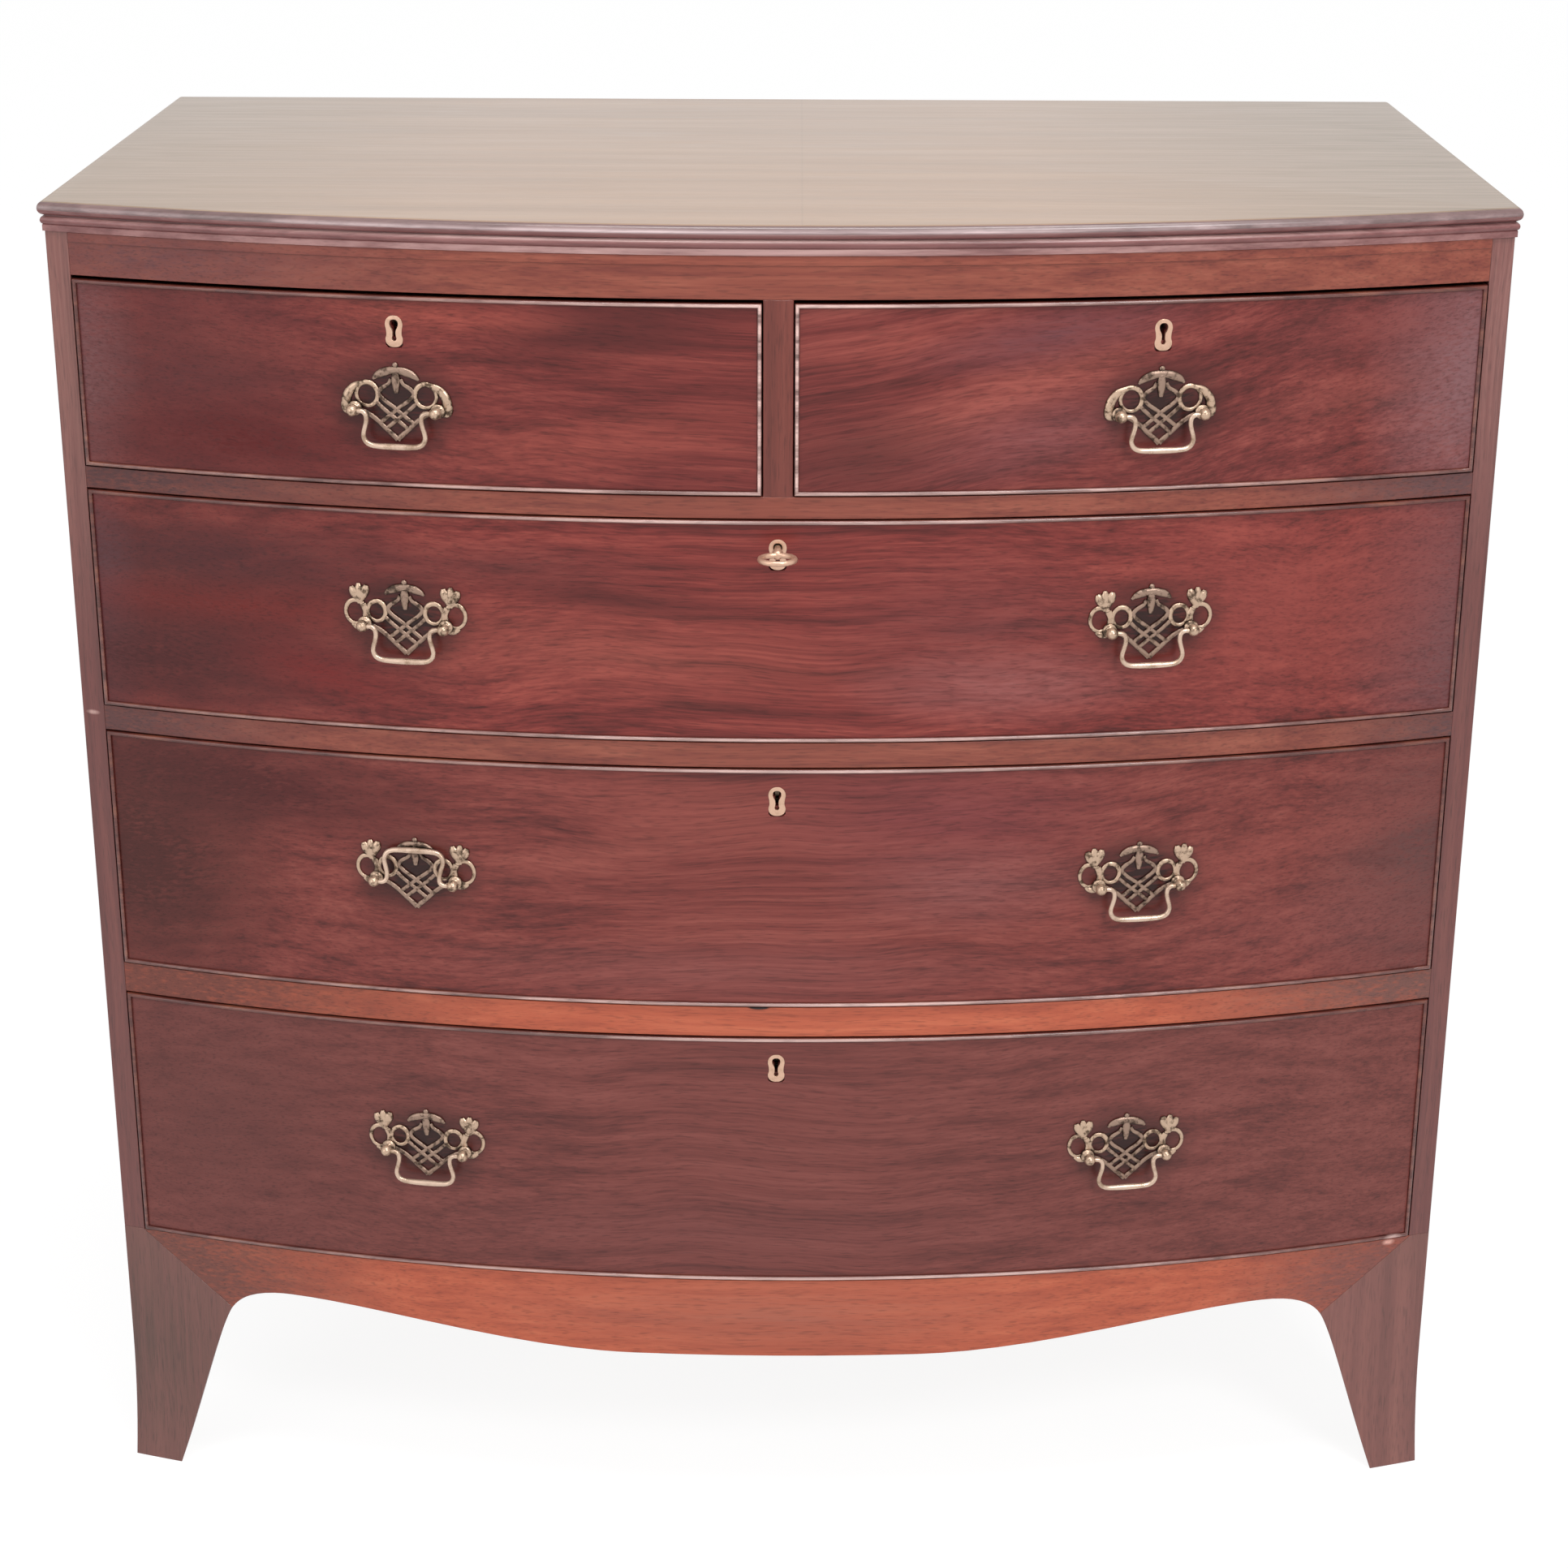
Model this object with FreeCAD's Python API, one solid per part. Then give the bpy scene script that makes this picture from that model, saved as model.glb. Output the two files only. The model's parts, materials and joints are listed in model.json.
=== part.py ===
import FreeCAD, Part
import math
import os

V = FreeCAD.Vector

# Overall sizes, in millimetres
foot_height = 209.0         # floor to the lowest drawer opening
body_width = 1038.0         # across the outer faces of the two sides
side_depth = 516.0          # front corner to the back edge of a side
bow_rise = 82.6             # swell of the front beyond its two corners

# Top board and its moulded edge
top_thickness = 21.0
top_overhang = 4.0          # nose beyond the front and the sides
top_back_overhang = 3.0
nose_radius = 5.0           # rounded upper member
nose_sides = 4              # flats that stand for its round
nose_sweep = 170.0          # degrees of round, from the top surface
ledge_drop = 10.8           # top surface down to the ledge under the nose
ledge_reach = 2.6           # ledge and ovolo beyond the body
fillet_reach = 1.4          # plain fillet at the foot of the moulding
fillet_height = 4.0

# Carcass boards
side_thickness = 17.0
frieze_height = 30.5
frieze_strip_height = 7.0   # upper strip of the frieze, slightly proud
frieze_strip_proud = 0.8
rail_thickness = {"upper": 16.0, "middle": 19.0, "lower": 24.0}
opening_height = {"short": 139.0, "top": 167.0, "middle": 190.0, "bottom": 207.0}
rail_back = 45.0            # straight back edge of the rails, behind the corner
rail_tenon = 11.0           # stub tenon housed in the side at each rail end
rail_tenon_depth = 15.0     # back end of that tenon, behind the corner
rail_tenon_set_back = 5.0   # its front end, behind the front edge of the side
rail_tenon_shoulder = 2.0   # above and below it
muntin_width = 21.0
muntin_depth = 60.0
muntin_tenon = 6.0
muntin_tenon_set_back = 8.0
bottom_thickness = 18.0
bottom_housing = 6.0        # bottom board let into the sides
back_thickness = 10.0
back_rebate = 9.0           # rebate in the side that takes the back boards
back_board_count = 4
back_board_gap = 0.5
runner_width = 24.0
centre_runner_width = 70.0
guide_height = 28.0
dust_thickness = 8.0
dust_tongue = 6.0           # dust board let into rail and runners

# Shaped apron and splayed feet: drops from the lowest drawer opening, insets from the body's corner
apron_thickness = 18.0
apron_depth = 66.5          # at the middle of the front
apron_flat = 110.0          # half width of the nearly straight middle
apron_arch_pull = 75.0      # how far the apron's curve runs on level from the arch top
apron_middle_pull = 95.0    # the same at the middle
arch_drop = 40.0            # arch top below the lowest drawer opening
arch_inset = 136.5          # arch top, from the corner
joint_top_inset = 16.0      # diagonal joint between apron and foot, upper end
joint_inset = 87.0          # the same joint, lower end
joint_drop = 59.0           # the same end, below the lowest drawer opening
arch_start_pull = (9.0, 14.0)    # direction in which the arch leaves the joint
arch_top_pull = 22.0
knee_pull = (11.0, 17.0)    # direction in which the foot's inner edge leaves the joint
ankle_pull = 18.0           # how much that edge is still inset a third of the way up
foot_inset = 35.0           # inner edge of the foot at the floor
foot_flare = 4.0            # outward splay of the foot at the floor
flare_height = 110.0        # where the splay begins
back_bracket_width = 95.0
back_bracket_thickness = 15.0
corner_block = 24.0
block_floor_gap = 45.0
apron_block_length = 60.0
apron_block = 20.0

# Drawers
front_gap = 1.0             # below and beside a drawer front, and beside the drawer
head_gap = {"short": 2.5, "top": 1.0, "middle": 1.0, "bottom": 1.0}    # above a drawer front
run_gap = 0.3               # drawer side above its runner
front_thickness = 22.0
bead_width = 3.0
bead_depth = 10.0
bead_proud = 2.2
drawer_side = 10.0
drawer_side_drop = 6.0      # top of the drawer sides below the top of the front
drawer_back_gap = 14.0      # behind the drawer, before the back boards
drawer_bottom = 7.0
bottom_lift = 8.0           # drawer bottom above the lower edge of the sides
bottom_groove = 4.0
tail_length = 10.5          # lapped dovetails of the drawer sides
tail_root = 16.0
tail_spread = 5.0           # how much a dovetail widens to its end
tail_pitch = 55.0
stop_length = 45.0
stop_width = 14.0
stop_height = 5.0
stop_gap = 0.3
stop_inset = 110.0          # stop centre, from the end of the drawer opening

# Locks, escutcheons and key
lock_drop = 20.0            # key's axis below the top of the drawer front
lock_half_width = 24.0
lock_below = 24.0           # lock case below the key's axis
lock_front = 10.6           # lock case, from the face of the drawer front
lock_back = 22.6
lock_wall = 2.0
selvedge_half_width = 32.0
selvedge_thickness = 2.4
bolt_half_width = 13.0
bolt_clearance = 0.4
bolt_travel = 8.0
bolt_skirt = 6.0            # bolt's legs below the key's axis
bolt_top_gap = 0.3
mortise_clearance = 0.8
throat_radius = 8.0         # arch of the bolt around the key's bit
escutcheon_radius = 5.8
escutcheon_foot = 6.2       # half width of the escutcheon's lower end
escutcheon_waist = 4.9
escutcheon_length = 16.5    # key's axis down to the lower end
escutcheon_thickness = 3.0
escutcheon_proud = 0.4
keyhole_radius = 2.9
keyslot_half_width = 1.4
keyslot_length = 9.5
keyhole_sides = 8           # flats that stand for the round head
key_radius = 2.4
key_bow_half_width = 14.0
key_bow_half_length = 12.5
key_bow_wall = 3.8
key_bow_thickness = 4.0
key_bow_centre = 29.0       # bow's centre in front of the drawer face
key_bow_sides = 16
key_collar_radius = 3.8
key_collar_length = 3.0
key_bit_reach = 7.4
key_bit_length = 4.0
key_bit_thickness = 2.2
key_bit_margin = 0.6        # bit inside the lock case, front and back

# Pulls: pierced backplates, posts and swan-neck bails
handle_offset = 267.0       # handle centres, from the middle of the chest
handle_below_middle = {"short": 12.25, "top": 2.0, "middle": 2.0, "bottom": 2.0}
post_half_spacing = 30.0
plate_thickness = 1.6
plate_seat = 0.05
loop_sides = 6
plate_pattern_half = 30.0   # post spacing, halved, for which the plates' outlines are drawn
post_reach = 9.5            # bail's axis in front of the drawer face
post_ball_radius = 4.3
post_base_radius = 5.2
post_base_height = 2.4
post_neck_radius = 2.8
turned_sides = 6            # flats round the posts and the key
shank_half = 1.7            # half width of the square shank
shank_depth = 15.0          # shank let into the drawer front
bail_radius = 1.9
bail_sides = 6
bail_neck = 19.5            # half width of the bail at its pins
bail_belly = 22.6           # half width where it swells
bail_drop = 25.6
bail_bend = 3.6
pin_clearance = 0.08
pin_hole_depth = 2.4        # pin hole past the middle of the ball
pin_end_gap = 0.6
bail_raised_angle = 192.0   # from hanging to leaning on the plate above

# Derived levels and places
body_half = body_width / 2
inner_half = body_half - side_thickness
bow_radius = (body_half ** 2 + bow_rise ** 2) / (2 * bow_rise)
key_reach = key_bow_centre + key_bow_half_length
depth_to_back = side_depth + top_back_overhang
corner_y = (bow_rise + key_reach - depth_to_back) / 2
axis_y = corner_y - bow_rise + bow_radius
back_y = corner_y + side_depth
back_board_y = back_y - back_thickness
front_limit = corner_y - bow_rise - 2 * key_reach
rail_back_y = corner_y + rail_back
muntin_half = muntin_width / 2
plate_scale = post_half_spacing / plate_pattern_half
muntin_back = corner_y - bow_rise + muntin_depth
apron_centre = foot_height - apron_depth
arch_top = foot_height - arch_drop
joint_height = foot_height - joint_drop

tiers = ("bottom", "middle", "top", "short")
rail_below = {"short": "upper", "top": "middle", "middle": "lower"}
opening_top = {}
opening_bottom = {}
level = foot_height
for tier in tiers:
    opening_bottom[tier] = level + rail_thickness.get(rail_below.get(tier), 0.0)
    opening_top[tier] = opening_bottom[tier] + opening_height[tier]
    level = opening_top[tier]
top_underside = level + frieze_height
height = top_underside + top_thickness


def box(x0, x1, y0, y1, z0, z1):
    return Part.makeBox(x1 - x0, y1 - y0, z1 - z0, V(x0, y0, z0))


def polygon(points):
    return Part.Face(Part.makePolygon(points + points[:1]))


def elevation(points, y0, y1):
    """Prism of an outline given as (x, z), from y0 back to y1."""
    return polygon([V(x, y0, z) for x, z in points]).extrude(V(0, y1 - y0, 0))


def side_elevation(points, x0, x1):
    """Prism of an outline given as (y, z), from x0 across to x1."""
    return polygon([V(x0, y, z) for y, z in points]).extrude(V(x1 - x0, 0, 0))


def drum(radius):
    """Full-height cylinder about the bow's own axis."""
    return Part.makeCylinder(radius, height, V(0, axis_y, 0))


def bow_y(x, radius=bow_radius):
    return axis_y - math.sqrt(radius ** 2 - x ** 2)


def bowed(blank, outer, inner=0.0):
    """The part of a blank that lies between two radii of the bow."""
    piece = blank.common(drum(bow_radius + outer))
    if inner:
        piece = piece.cut(drum(bow_radius + inner))
    return piece


def bowed_box(x0, x1, z0, z1, outer, inner):
    return bowed(box(x0, x1, front_limit, corner_y + rail_back, z0, z1), outer, inner)


def mirrored(shape):
    return shape.mirror(V(0, 0, 0), V(1, 0, 0))


def on_front(shape, x, z):
    """Carry a shape from the face of a flat front to place x, z on the bow."""
    turn = math.degrees(math.asin(x / bow_radius))
    place = FreeCAD.Placement(V(x, bow_y(x), z), FreeCAD.Rotation(V(0, 0, 1), turn))
    moved = shape.copy()
    moved.Placement = place.multiply(moved.Placement)
    return moved


def save(node, *pieces):
    solids = [solid for piece in pieces for solid in piece.Solids]
    shape = Part.makeCompound(solids) if len(solids) > 1 else solids[0]
    shape.exportStep("parts/" + node + ".step")
    volume = sum(solid.Volume for solid in solids) / 1000
    print(node, len(solids), "solids", round(volume, 1), "cm3", shape.isValid())


def arc_points(centre, radius, start, sweep, flats):
    """Points of a round stretch as (reach, z), drawn with a few flats; angles in degrees."""
    points = []
    for index in range(flats + 1):
        angle = math.radians(start + sweep * index / flats)
        points.append((centre[0] + radius * math.cos(angle), centre[1] + radius * math.sin(angle)))
    return points


def edge_moulding(inner):
    """Section of the top's edge as (reach, height), from a plain inner end."""
    nose = arc_points((top_overhang - nose_radius, height - nose_radius), nose_radius, 90, -nose_sweep, nose_sides)
    ledge_z = height - ledge_drop
    fillet_z = top_underside + fillet_height
    quirk_depth = ledge_reach - fillet_reach
    ovolo = [(ledge_reach, ledge_z), (ledge_reach - quirk_depth * 0.2, (ledge_z + fillet_z) / 2),
             (fillet_reach, fillet_z)]
    outline = [(inner, height), *nose, *ovolo, (fillet_reach, top_underside), (inner, top_underside)]
    return polygon([V(reach, 0, z) for reach, z in outline])


def turned_about_bow(section, sweep=60.0):
    """Revolve a section, given as (reach beyond the front, 0, z), about the bow's axis."""
    face = section.copy()
    face.translate(V(bow_radius, 0, 0))
    face.rotate(V(0, 0, 0), V(0, 0, 1), -90 - sweep / 2)
    face.translate(V(0, axis_y, 0))
    return face.revolve(V(0, axis_y, 0), V(0, 0, 1), sweep)


def make_top():
    front = turned_about_bow(edge_moulding(-side_depth - 3 * bow_rise))
    right = edge_moulding(-body_half)
    right.translate(V(body_half, front_limit, 0))
    right = right.extrude(V(0, corner_y + depth_to_back - front_limit, 0))
    slab = right.fuse(mirrored(right)).removeSplitter()
    return front.common(slab)


def rail_ends(z0, z1):
    """Stub tenons at the two ends of a rail, housed in the sides behind their front edges."""
    blank = box(inner_half, inner_half + rail_tenon, front_limit, corner_y + rail_tenon_depth,
                z0 + rail_tenon_shoulder, z1 - rail_tenon_shoulder)
    tenon = bowed(blank, -rail_tenon_set_back)
    return [tenon, mirrored(tenon)]


def make_rail(z0, z1):
    """Bow-fronted rail with a straight back, plus its tenons."""
    blank = box(-inner_half, inner_half, front_limit, rail_back_y, z0, z1)
    tenons = rail_ends(z0, z1)
    rail = bowed(blank, 0.0).multiFuse(tenons).removeSplitter()
    return rail, tenons


def make_frieze():
    strip_foot = top_underside - frieze_strip_height
    z0 = opening_top["short"]
    section = polygon([
        V(-bow_rise - rail_back, 0, z0), V(0, 0, z0), V(0, 0, strip_foot),
        V(frieze_strip_proud, 0, strip_foot), V(frieze_strip_proud, 0, top_underside),
        V(-bow_rise - rail_back, 0, top_underside)])
    blank = box(-inner_half, inner_half, front_limit, rail_back_y, z0, top_underside)
    tenons = rail_ends(z0, strip_foot)
    frieze = turned_about_bow(section).common(blank).multiFuse(tenons).removeSplitter()
    return frieze, tenons


def make_muntin():
    """Upright between the two short drawers, tenoned into frieze and rail."""
    z0 = opening_bottom["short"]
    z1 = opening_top["short"]
    post = bowed(box(-muntin_half, muntin_half, front_limit, muntin_back, z0, z1), 0.0)
    tenon = box(-muntin_half, muntin_half, corner_y - bow_rise + muntin_tenon_set_back, muntin_back,
                z0 - muntin_tenon, z1 + muntin_tenon)
    return post.fuse(tenon).removeSplitter()


def bezier(points):
    curve = Part.BezierCurve()
    curve.setPoles(points)
    return curve.toShape()


def edge_chain(points):
    return [Part.makeLine(a, b) for a, b in zip(points, points[1:])]


def foot_edges(at):
    """Inner edge of a foot and its diagonal joint; at(inset, z) gives a point."""
    knee = [at(joint_inset, joint_height), at(joint_inset - knee_pull[0], joint_height - knee_pull[1]),
            at(foot_inset + ankle_pull, joint_height / 3), at(foot_inset, 0)]
    joint = Part.makeLine(at(joint_top_inset, foot_height), at(joint_inset, joint_height))
    return joint, bezier(knee)


def arch_edge(at):
    """Arch between the foot's joint and the highest point beside it."""
    start = at(joint_inset + arch_start_pull[0], joint_height + arch_start_pull[1])
    return bezier([at(joint_inset, joint_height), start, at(arch_inset - arch_top_pull, arch_top),
                   at(arch_inset, arch_top)])


def make_apron():
    def right(inset, z):
        return V(body_half - inset, front_limit, z)

    def left(inset, z):
        return V(inset - body_half, front_limit, z)

    def swell(sign):
        start = sign * (body_half - arch_inset)
        middle = sign * apron_flat
        return bezier([V(start, front_limit, arch_top),
                       V(start - sign * apron_arch_pull, front_limit, arch_top),
                       V(middle + sign * apron_middle_pull, front_limit, apron_centre),
                       V(middle, front_limit, apron_centre)])

    edges = [Part.makeLine(left(joint_top_inset, foot_height), right(joint_top_inset, foot_height))]
    edges += [foot_edges(right)[0], arch_edge(right), swell(1)]
    edges.append(Part.makeLine(V(apron_flat, front_limit, apron_centre),
                               V(-apron_flat, front_limit, apron_centre)))
    edges += [swell(-1), arch_edge(left), foot_edges(left)[0]]
    face = Part.Face(Part.Wire(Part.__sortEdges__(edges)))
    blank = face.extrude(V(0, rail_back_y - front_limit, 0))
    return bowed(blank, 0.0, -apron_thickness)


def flare_section(inner):
    """Upright section of a foot as (reach, z), with its splayed outer face."""
    radius = (flare_height ** 2 + foot_flare ** 2) / (2 * foot_flare)
    middle_z = flare_height / 2
    middle = radius - math.sqrt(radius ** 2 - middle_z ** 2)
    top = V(0, 0, foot_height)
    bend = V(0, 0, flare_height)
    toe = V(foot_flare, 0, 0)
    edges = [Part.makeLine(V(inner, 0, foot_height), top), Part.makeLine(top, bend),
             Part.Arc(bend, V(middle, 0, middle_z), toe).toShape(),
             Part.makeLine(toe, V(inner, 0, 0)),
             Part.makeLine(V(inner, 0, 0), V(inner, 0, foot_height))]
    return Part.Face(Part.Wire(edges))


def foot_outline(at, outer):
    joint, knee = foot_edges(at)
    edges = [joint, knee]
    edges += edge_chain([at(foot_inset, 0), at(outer, 0), at(outer, foot_height),
                         at(joint_top_inset, foot_height)])
    return Part.Face(Part.Wire(Part.__sortEdges__(edges)))


def mitre_half(front_side):
    """Half space on one side of the corner's mitre, as a large block."""
    toe = V(body_half + foot_flare, bow_y(body_half + foot_flare, bow_radius + foot_flare), 0)
    corner = V(body_half, corner_y, 0)
    along = (corner - toe).normalize()
    across = V(-along.y, along.x, 0) if front_side else V(along.y, -along.x, 0)
    reach = 3 * body_half
    a = corner - along * reach
    b = corner + along * reach
    face = polygon([a, b, b + across * reach, a + across * reach])
    return face.extrude(V(0, 0, height))


def make_front_foot():
    """Right front foot: a bowed front facing and a side facing, mitred at the corner."""
    def front_at(inset, z):
        return V(body_half - inset, front_limit, z)

    def side_at(inset, z):
        return V(0, corner_y + inset, z)

    spare = -6 * foot_flare
    front = turned_about_bow(flare_section(-apron_thickness))
    front = front.common(foot_outline(front_at, spare).extrude(V(0, body_half, 0)))
    side = flare_section(-side_thickness)
    side.translate(V(body_half, front_limit, 0))
    side = side.extrude(V(0, body_half, 0))
    side = side.common(foot_outline(side_at, spare).extrude(V(2 * body_half, 0, 0)))
    return front.common(mitre_half(True)), side.common(mitre_half(False))


def make_back_foot():
    """Right back foot: a splayed side facing and a plain bracket across the back."""
    def side_at(inset, z):
        return V(0, back_y - inset, z)

    side = flare_section(-side_thickness)
    side.translate(V(body_half, corner_y, 0))
    side = side.extrude(V(0, side_depth, 0))
    side = side.common(foot_outline(side_at, 0.0).extrude(V(2 * body_half, 0, 0)))
    x1 = inner_half
    x0 = inner_half - back_bracket_width
    top = foot_height - bottom_thickness
    outline = [(x0, top), (x1, top), (x1, 0), (x1 - foot_inset, 0), (x0, top - foot_inset)]
    bracket = elevation(outline, back_y - back_bracket_thickness, back_y)
    return side, bracket


def make_side():
    """Right side: bow-shaped front edge, arched foot, rebated for the back boards."""
    def front_at(inset, z):
        return V(inner_half, corner_y + inset, z)

    def back_at(inset, z):
        return V(inner_half, back_y - inset, z)

    edges = [foot_edges(front_at)[0], arch_edge(front_at), foot_edges(back_at)[0], arch_edge(back_at)]
    edges.append(Part.makeLine(front_at(arch_inset, arch_top), back_at(arch_inset, arch_top)))
    front_edge = front_limit - corner_y
    edges += edge_chain([front_at(joint_top_inset, foot_height), front_at(front_edge, foot_height),
                         front_at(front_edge, top_underside), back_at(0, top_underside),
                         back_at(0, foot_height), back_at(joint_top_inset, foot_height)])
    blank = Part.Face(Part.Wire(Part.__sortEdges__(edges))).extrude(V(side_thickness, 0, 0))
    rebate = box(inner_half - 1, inner_half + back_rebate, back_board_y, back_y + 1,
                 foot_height - bottom_thickness, height)
    return bowed(blank, 0.0).cut(rebate)


def make_back_boards():
    span = 2 * (inner_half + back_rebate) - back_board_gap
    width = span / back_board_count
    boards = []
    for index in range(back_board_count):
        x0 = -span / 2 + index * width
        boards.append(box(x0, x0 + width - back_board_gap, back_board_y, back_y,
                          foot_height - bottom_thickness, top_underside))
    return boards


def make_runners(tier):
    z1 = opening_bottom[tier]
    z0 = z1 - rail_thickness[rail_below[tier]]
    right = box(inner_half - runner_width, inner_half, rail_back_y, back_board_y, z0, z1)
    runners = [right, mirrored(right)]
    if tier == "short":
        half = centre_runner_width / 2
        runners.append(box(-half, half, rail_back_y, back_board_y, z0, z1))
    return runners


def make_dust_boards(tier):
    middle = opening_bottom[tier] - rail_thickness[rail_below[tier]] / 2
    z0 = middle - dust_thickness / 2
    x1 = inner_half - runner_width + dust_tongue
    y0 = rail_back_y - dust_tongue
    if tier != "short":
        return [box(-x1, x1, y0, back_board_y, z0, z0 + dust_thickness)]
    right = box(centre_runner_width / 2 - dust_tongue, x1, y0, back_board_y, z0, z0 + dust_thickness)
    return [right, mirrored(right)]


def make_stops(x0, x1, z):
    """Two low blocks behind a drawer front, curved to its inner face."""
    stops = []
    for x in (x0 + stop_inset, x1 - stop_inset):
        face = bow_y(x, bow_radius - front_thickness)
        blank = box(x - stop_length / 2, x + stop_length / 2, front_limit, face + stop_width,
                    z, z + stop_height)
        stops.append(bowed(blank, -front_thickness - stop_gap))
    return stops


def make_blocks():
    """Corner blocks in the feet and short blocks behind the apron."""
    top = foot_height - bottom_thickness
    x1 = inner_half
    x0 = inner_half - corner_block
    front = box(x0, x1, front_limit, corner_y + corner_block, block_floor_gap, top)
    front = bowed(front, -apron_thickness)
    back_face = back_y - back_bracket_thickness
    back = box(x0, x1, back_face - corner_block, back_face, block_floor_gap, top)
    blocks = [front, mirrored(front), back, mirrored(back)]
    half = apron_block_length / 2
    for x in (-body_half / 2, 0.0, body_half / 2):
        inner = bow_y(x, bow_radius - apron_thickness)
        blank = box(x - half, x + half, front_limit, inner + apron_block, top - apron_block, top)
        blocks.append(bowed(blank, -apron_thickness))
    return blocks


def regular(centre, across, up, radius, sides):
    """Corners of a regular polygon with two flats square to the across direction."""
    points = []
    for index in range(sides):
        angle = math.tau * (index + 0.5) / sides
        points.append(centre + across * (radius * math.cos(angle)) + up * (radius * math.sin(angle)))
    return points


def skinned(rings):
    """Solid with flat sides between rings of points, closed at both ends."""
    faces = [polygon(rings[0]), polygon(rings[-1])]
    for near, far in zip(rings, rings[1:]):
        for index in range(len(near)):
            after = (index + 1) % len(near)
            faces.append(polygon([near[index], near[after], far[after], far[index]]))
    solid = Part.makeSolid(Part.makeShell(faces))
    if solid.Volume < 0:
        solid.reverse()
    return solid


def loop(u, w, radius):
    centre = V(u, 0, w) * plate_scale
    return polygon(regular(centre, V(1, 0, 0), V(0, 0, 1), radius * plate_scale, loop_sides))


def outline(points):
    return polygon([V(u, 0, w) * plate_scale for u, w in points])


def symmetrical(right_half):
    """Closed outline from its right half, listed from the top of the middle line down."""
    left_half = [(-u, w) for u, w in reversed(right_half) if u > 0]
    return outline(right_half + left_half)


def both(faces):
    return faces + [mirrored(face) for face in faces]


def lattice_openings():
    """Diamonds between the crossed straps, and the gaps beside them, on either plate."""
    diamond = symmetrical([(0, -2.8), (4.8, -7.0), (0, -11.2)])
    lyre = symmetrical([(0, 22.5), (2.4, 22.0), (10.4, 11.4), (0, 1.8)])
    beside = outline([(3.0, -0.6), (11.4, 7.2), (13.0, 2.8), (18.5, -1.4), (22.0, -1.8), (6.0, -13.6),
                      (9.2, -7.0)])
    return [diamond, lyre, *both([beside])]


def wide_plate():
    """Backplate of the long drawers: three finials over two pairs of loops."""
    crown = [(0, 33.0), (4.2, 28.6), (11.5, 28.5), (12.2, 23.8), (6.0, 22.8)]
    shoulder = [(15.0, 15.4), (20.5, 16.8), (28.0, 13.0), (31.2, 20.0)]
    finial = [(27.2, 25.5), (33.2, 31.0), (40.2, 25.5), (35.0, 20.0), (35.2, 16.4)]
    scroll = [(42.5, 16.0), (47.0, 10.5), (47.0, 3.5), (42.5, -2.0), (33.0, -6.0), (27.0, -5.5)]
    blank = symmetrical(crown + shoulder + finial + scroll + [(2.5, -24.0), (0, -25.0)])
    return blank, lattice_openings() + both([loop(38.4, 7.0, 6.4), loop(20.5, 8.0, 5.4)])


def narrow_plate():
    """Backplate of the short drawers: one finial and two large loops with drooping ends."""
    crown = [(0, 35.0), (4.2, 30.6), (13.0, 30.0), (12.6, 25.2), (6.0, 23.6)]
    shoulder = [(14.5, 18.4), (22.0, 20.6), (32.5, 17.5), (39.8, 4.0), (36.0, -2.0)]
    blank = symmetrical(crown + shoulder + [(33.0, -6.0), (27.0, -5.5), (2.5, -24.0), (0, -25.0)])
    return blank, lattice_openings() + both([loop(22.5, 9.6, 7.0)])


def square_shank():
    return box(-shank_half, shank_half, -plate_seat - plate_thickness, shank_depth, -shank_half, shank_half)


def turned(profile):
    """Turning about the y axis through (radius, y) stations, with a few flats round."""
    across = V(1, 0, 0)
    up = V(0, 0, 1)
    return skinned([regular(V(0, y, 0), across, up, radius, turned_sides) for radius, y in profile])


def make_post(sign):
    """Post with a ball end drilled for the bail, and a square shank let into the drawer front."""
    seat = plate_seat + plate_thickness
    ball = post_ball_radius
    post = turned([(ball * 0.6, -post_reach - ball), (ball, -post_reach - ball * 0.3),
                   (ball, -post_reach + ball * 0.3), (post_neck_radius, -seat - post_base_height),
                   (post_base_radius, -seat)])
    mouth = regular(V(-sign * 2 * ball, -post_reach, 0), V(0, 1, 0), V(0, 0, 1),
                    (bail_radius + pin_clearance) / math.cos(math.pi / turned_sides), turned_sides)
    post = post.cut(polygon(mouth).extrude(V(sign * (2 * ball + pin_hole_depth), 0, 0)))
    post = post.fuse(square_shank())
    post.translate(V(sign * post_half_spacing, 0, 0))
    return post


def make_pull(blank, openings):
    """Pierced backplate with its two posts."""
    sheet = blank.cut(Part.makeCompound(openings)).extrude(V(0, -plate_thickness, 0))
    sheet.translate(V(0, -plate_seat, 0))
    return sheet.multiFuse([make_post(-1), make_post(1)]).removeSplitter()


def bail_route():
    """Points along the middle of the bail, from its right pin to its left, with eased corners."""
    pin_end = post_half_spacing + pin_hole_depth - pin_end_gap
    right = [(pin_end, 0), (bail_neck, 0), (bail_neck - 1.5, -bail_drop * 0.31),
             (bail_belly, -bail_drop * 0.66), (bail_belly - 3.5, -bail_drop)]
    corners = [V(u, 0, w) for u, w in right]
    corners += [V(-point.x, 0, point.z) for point in reversed(corners)]
    route = [corners[0]]
    for before, corner, after in zip(corners, corners[1:], corners[2:]):
        arriving = (corner - before).normalize()
        leaving = (after - corner).normalize()
        half_turn = arriving.getAngle(leaving) / 2
        run = bail_bend * math.tan(half_turn)
        route += [corner - arriving * run, corner + leaving * run]
    return route + [corners[-1]]


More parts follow.
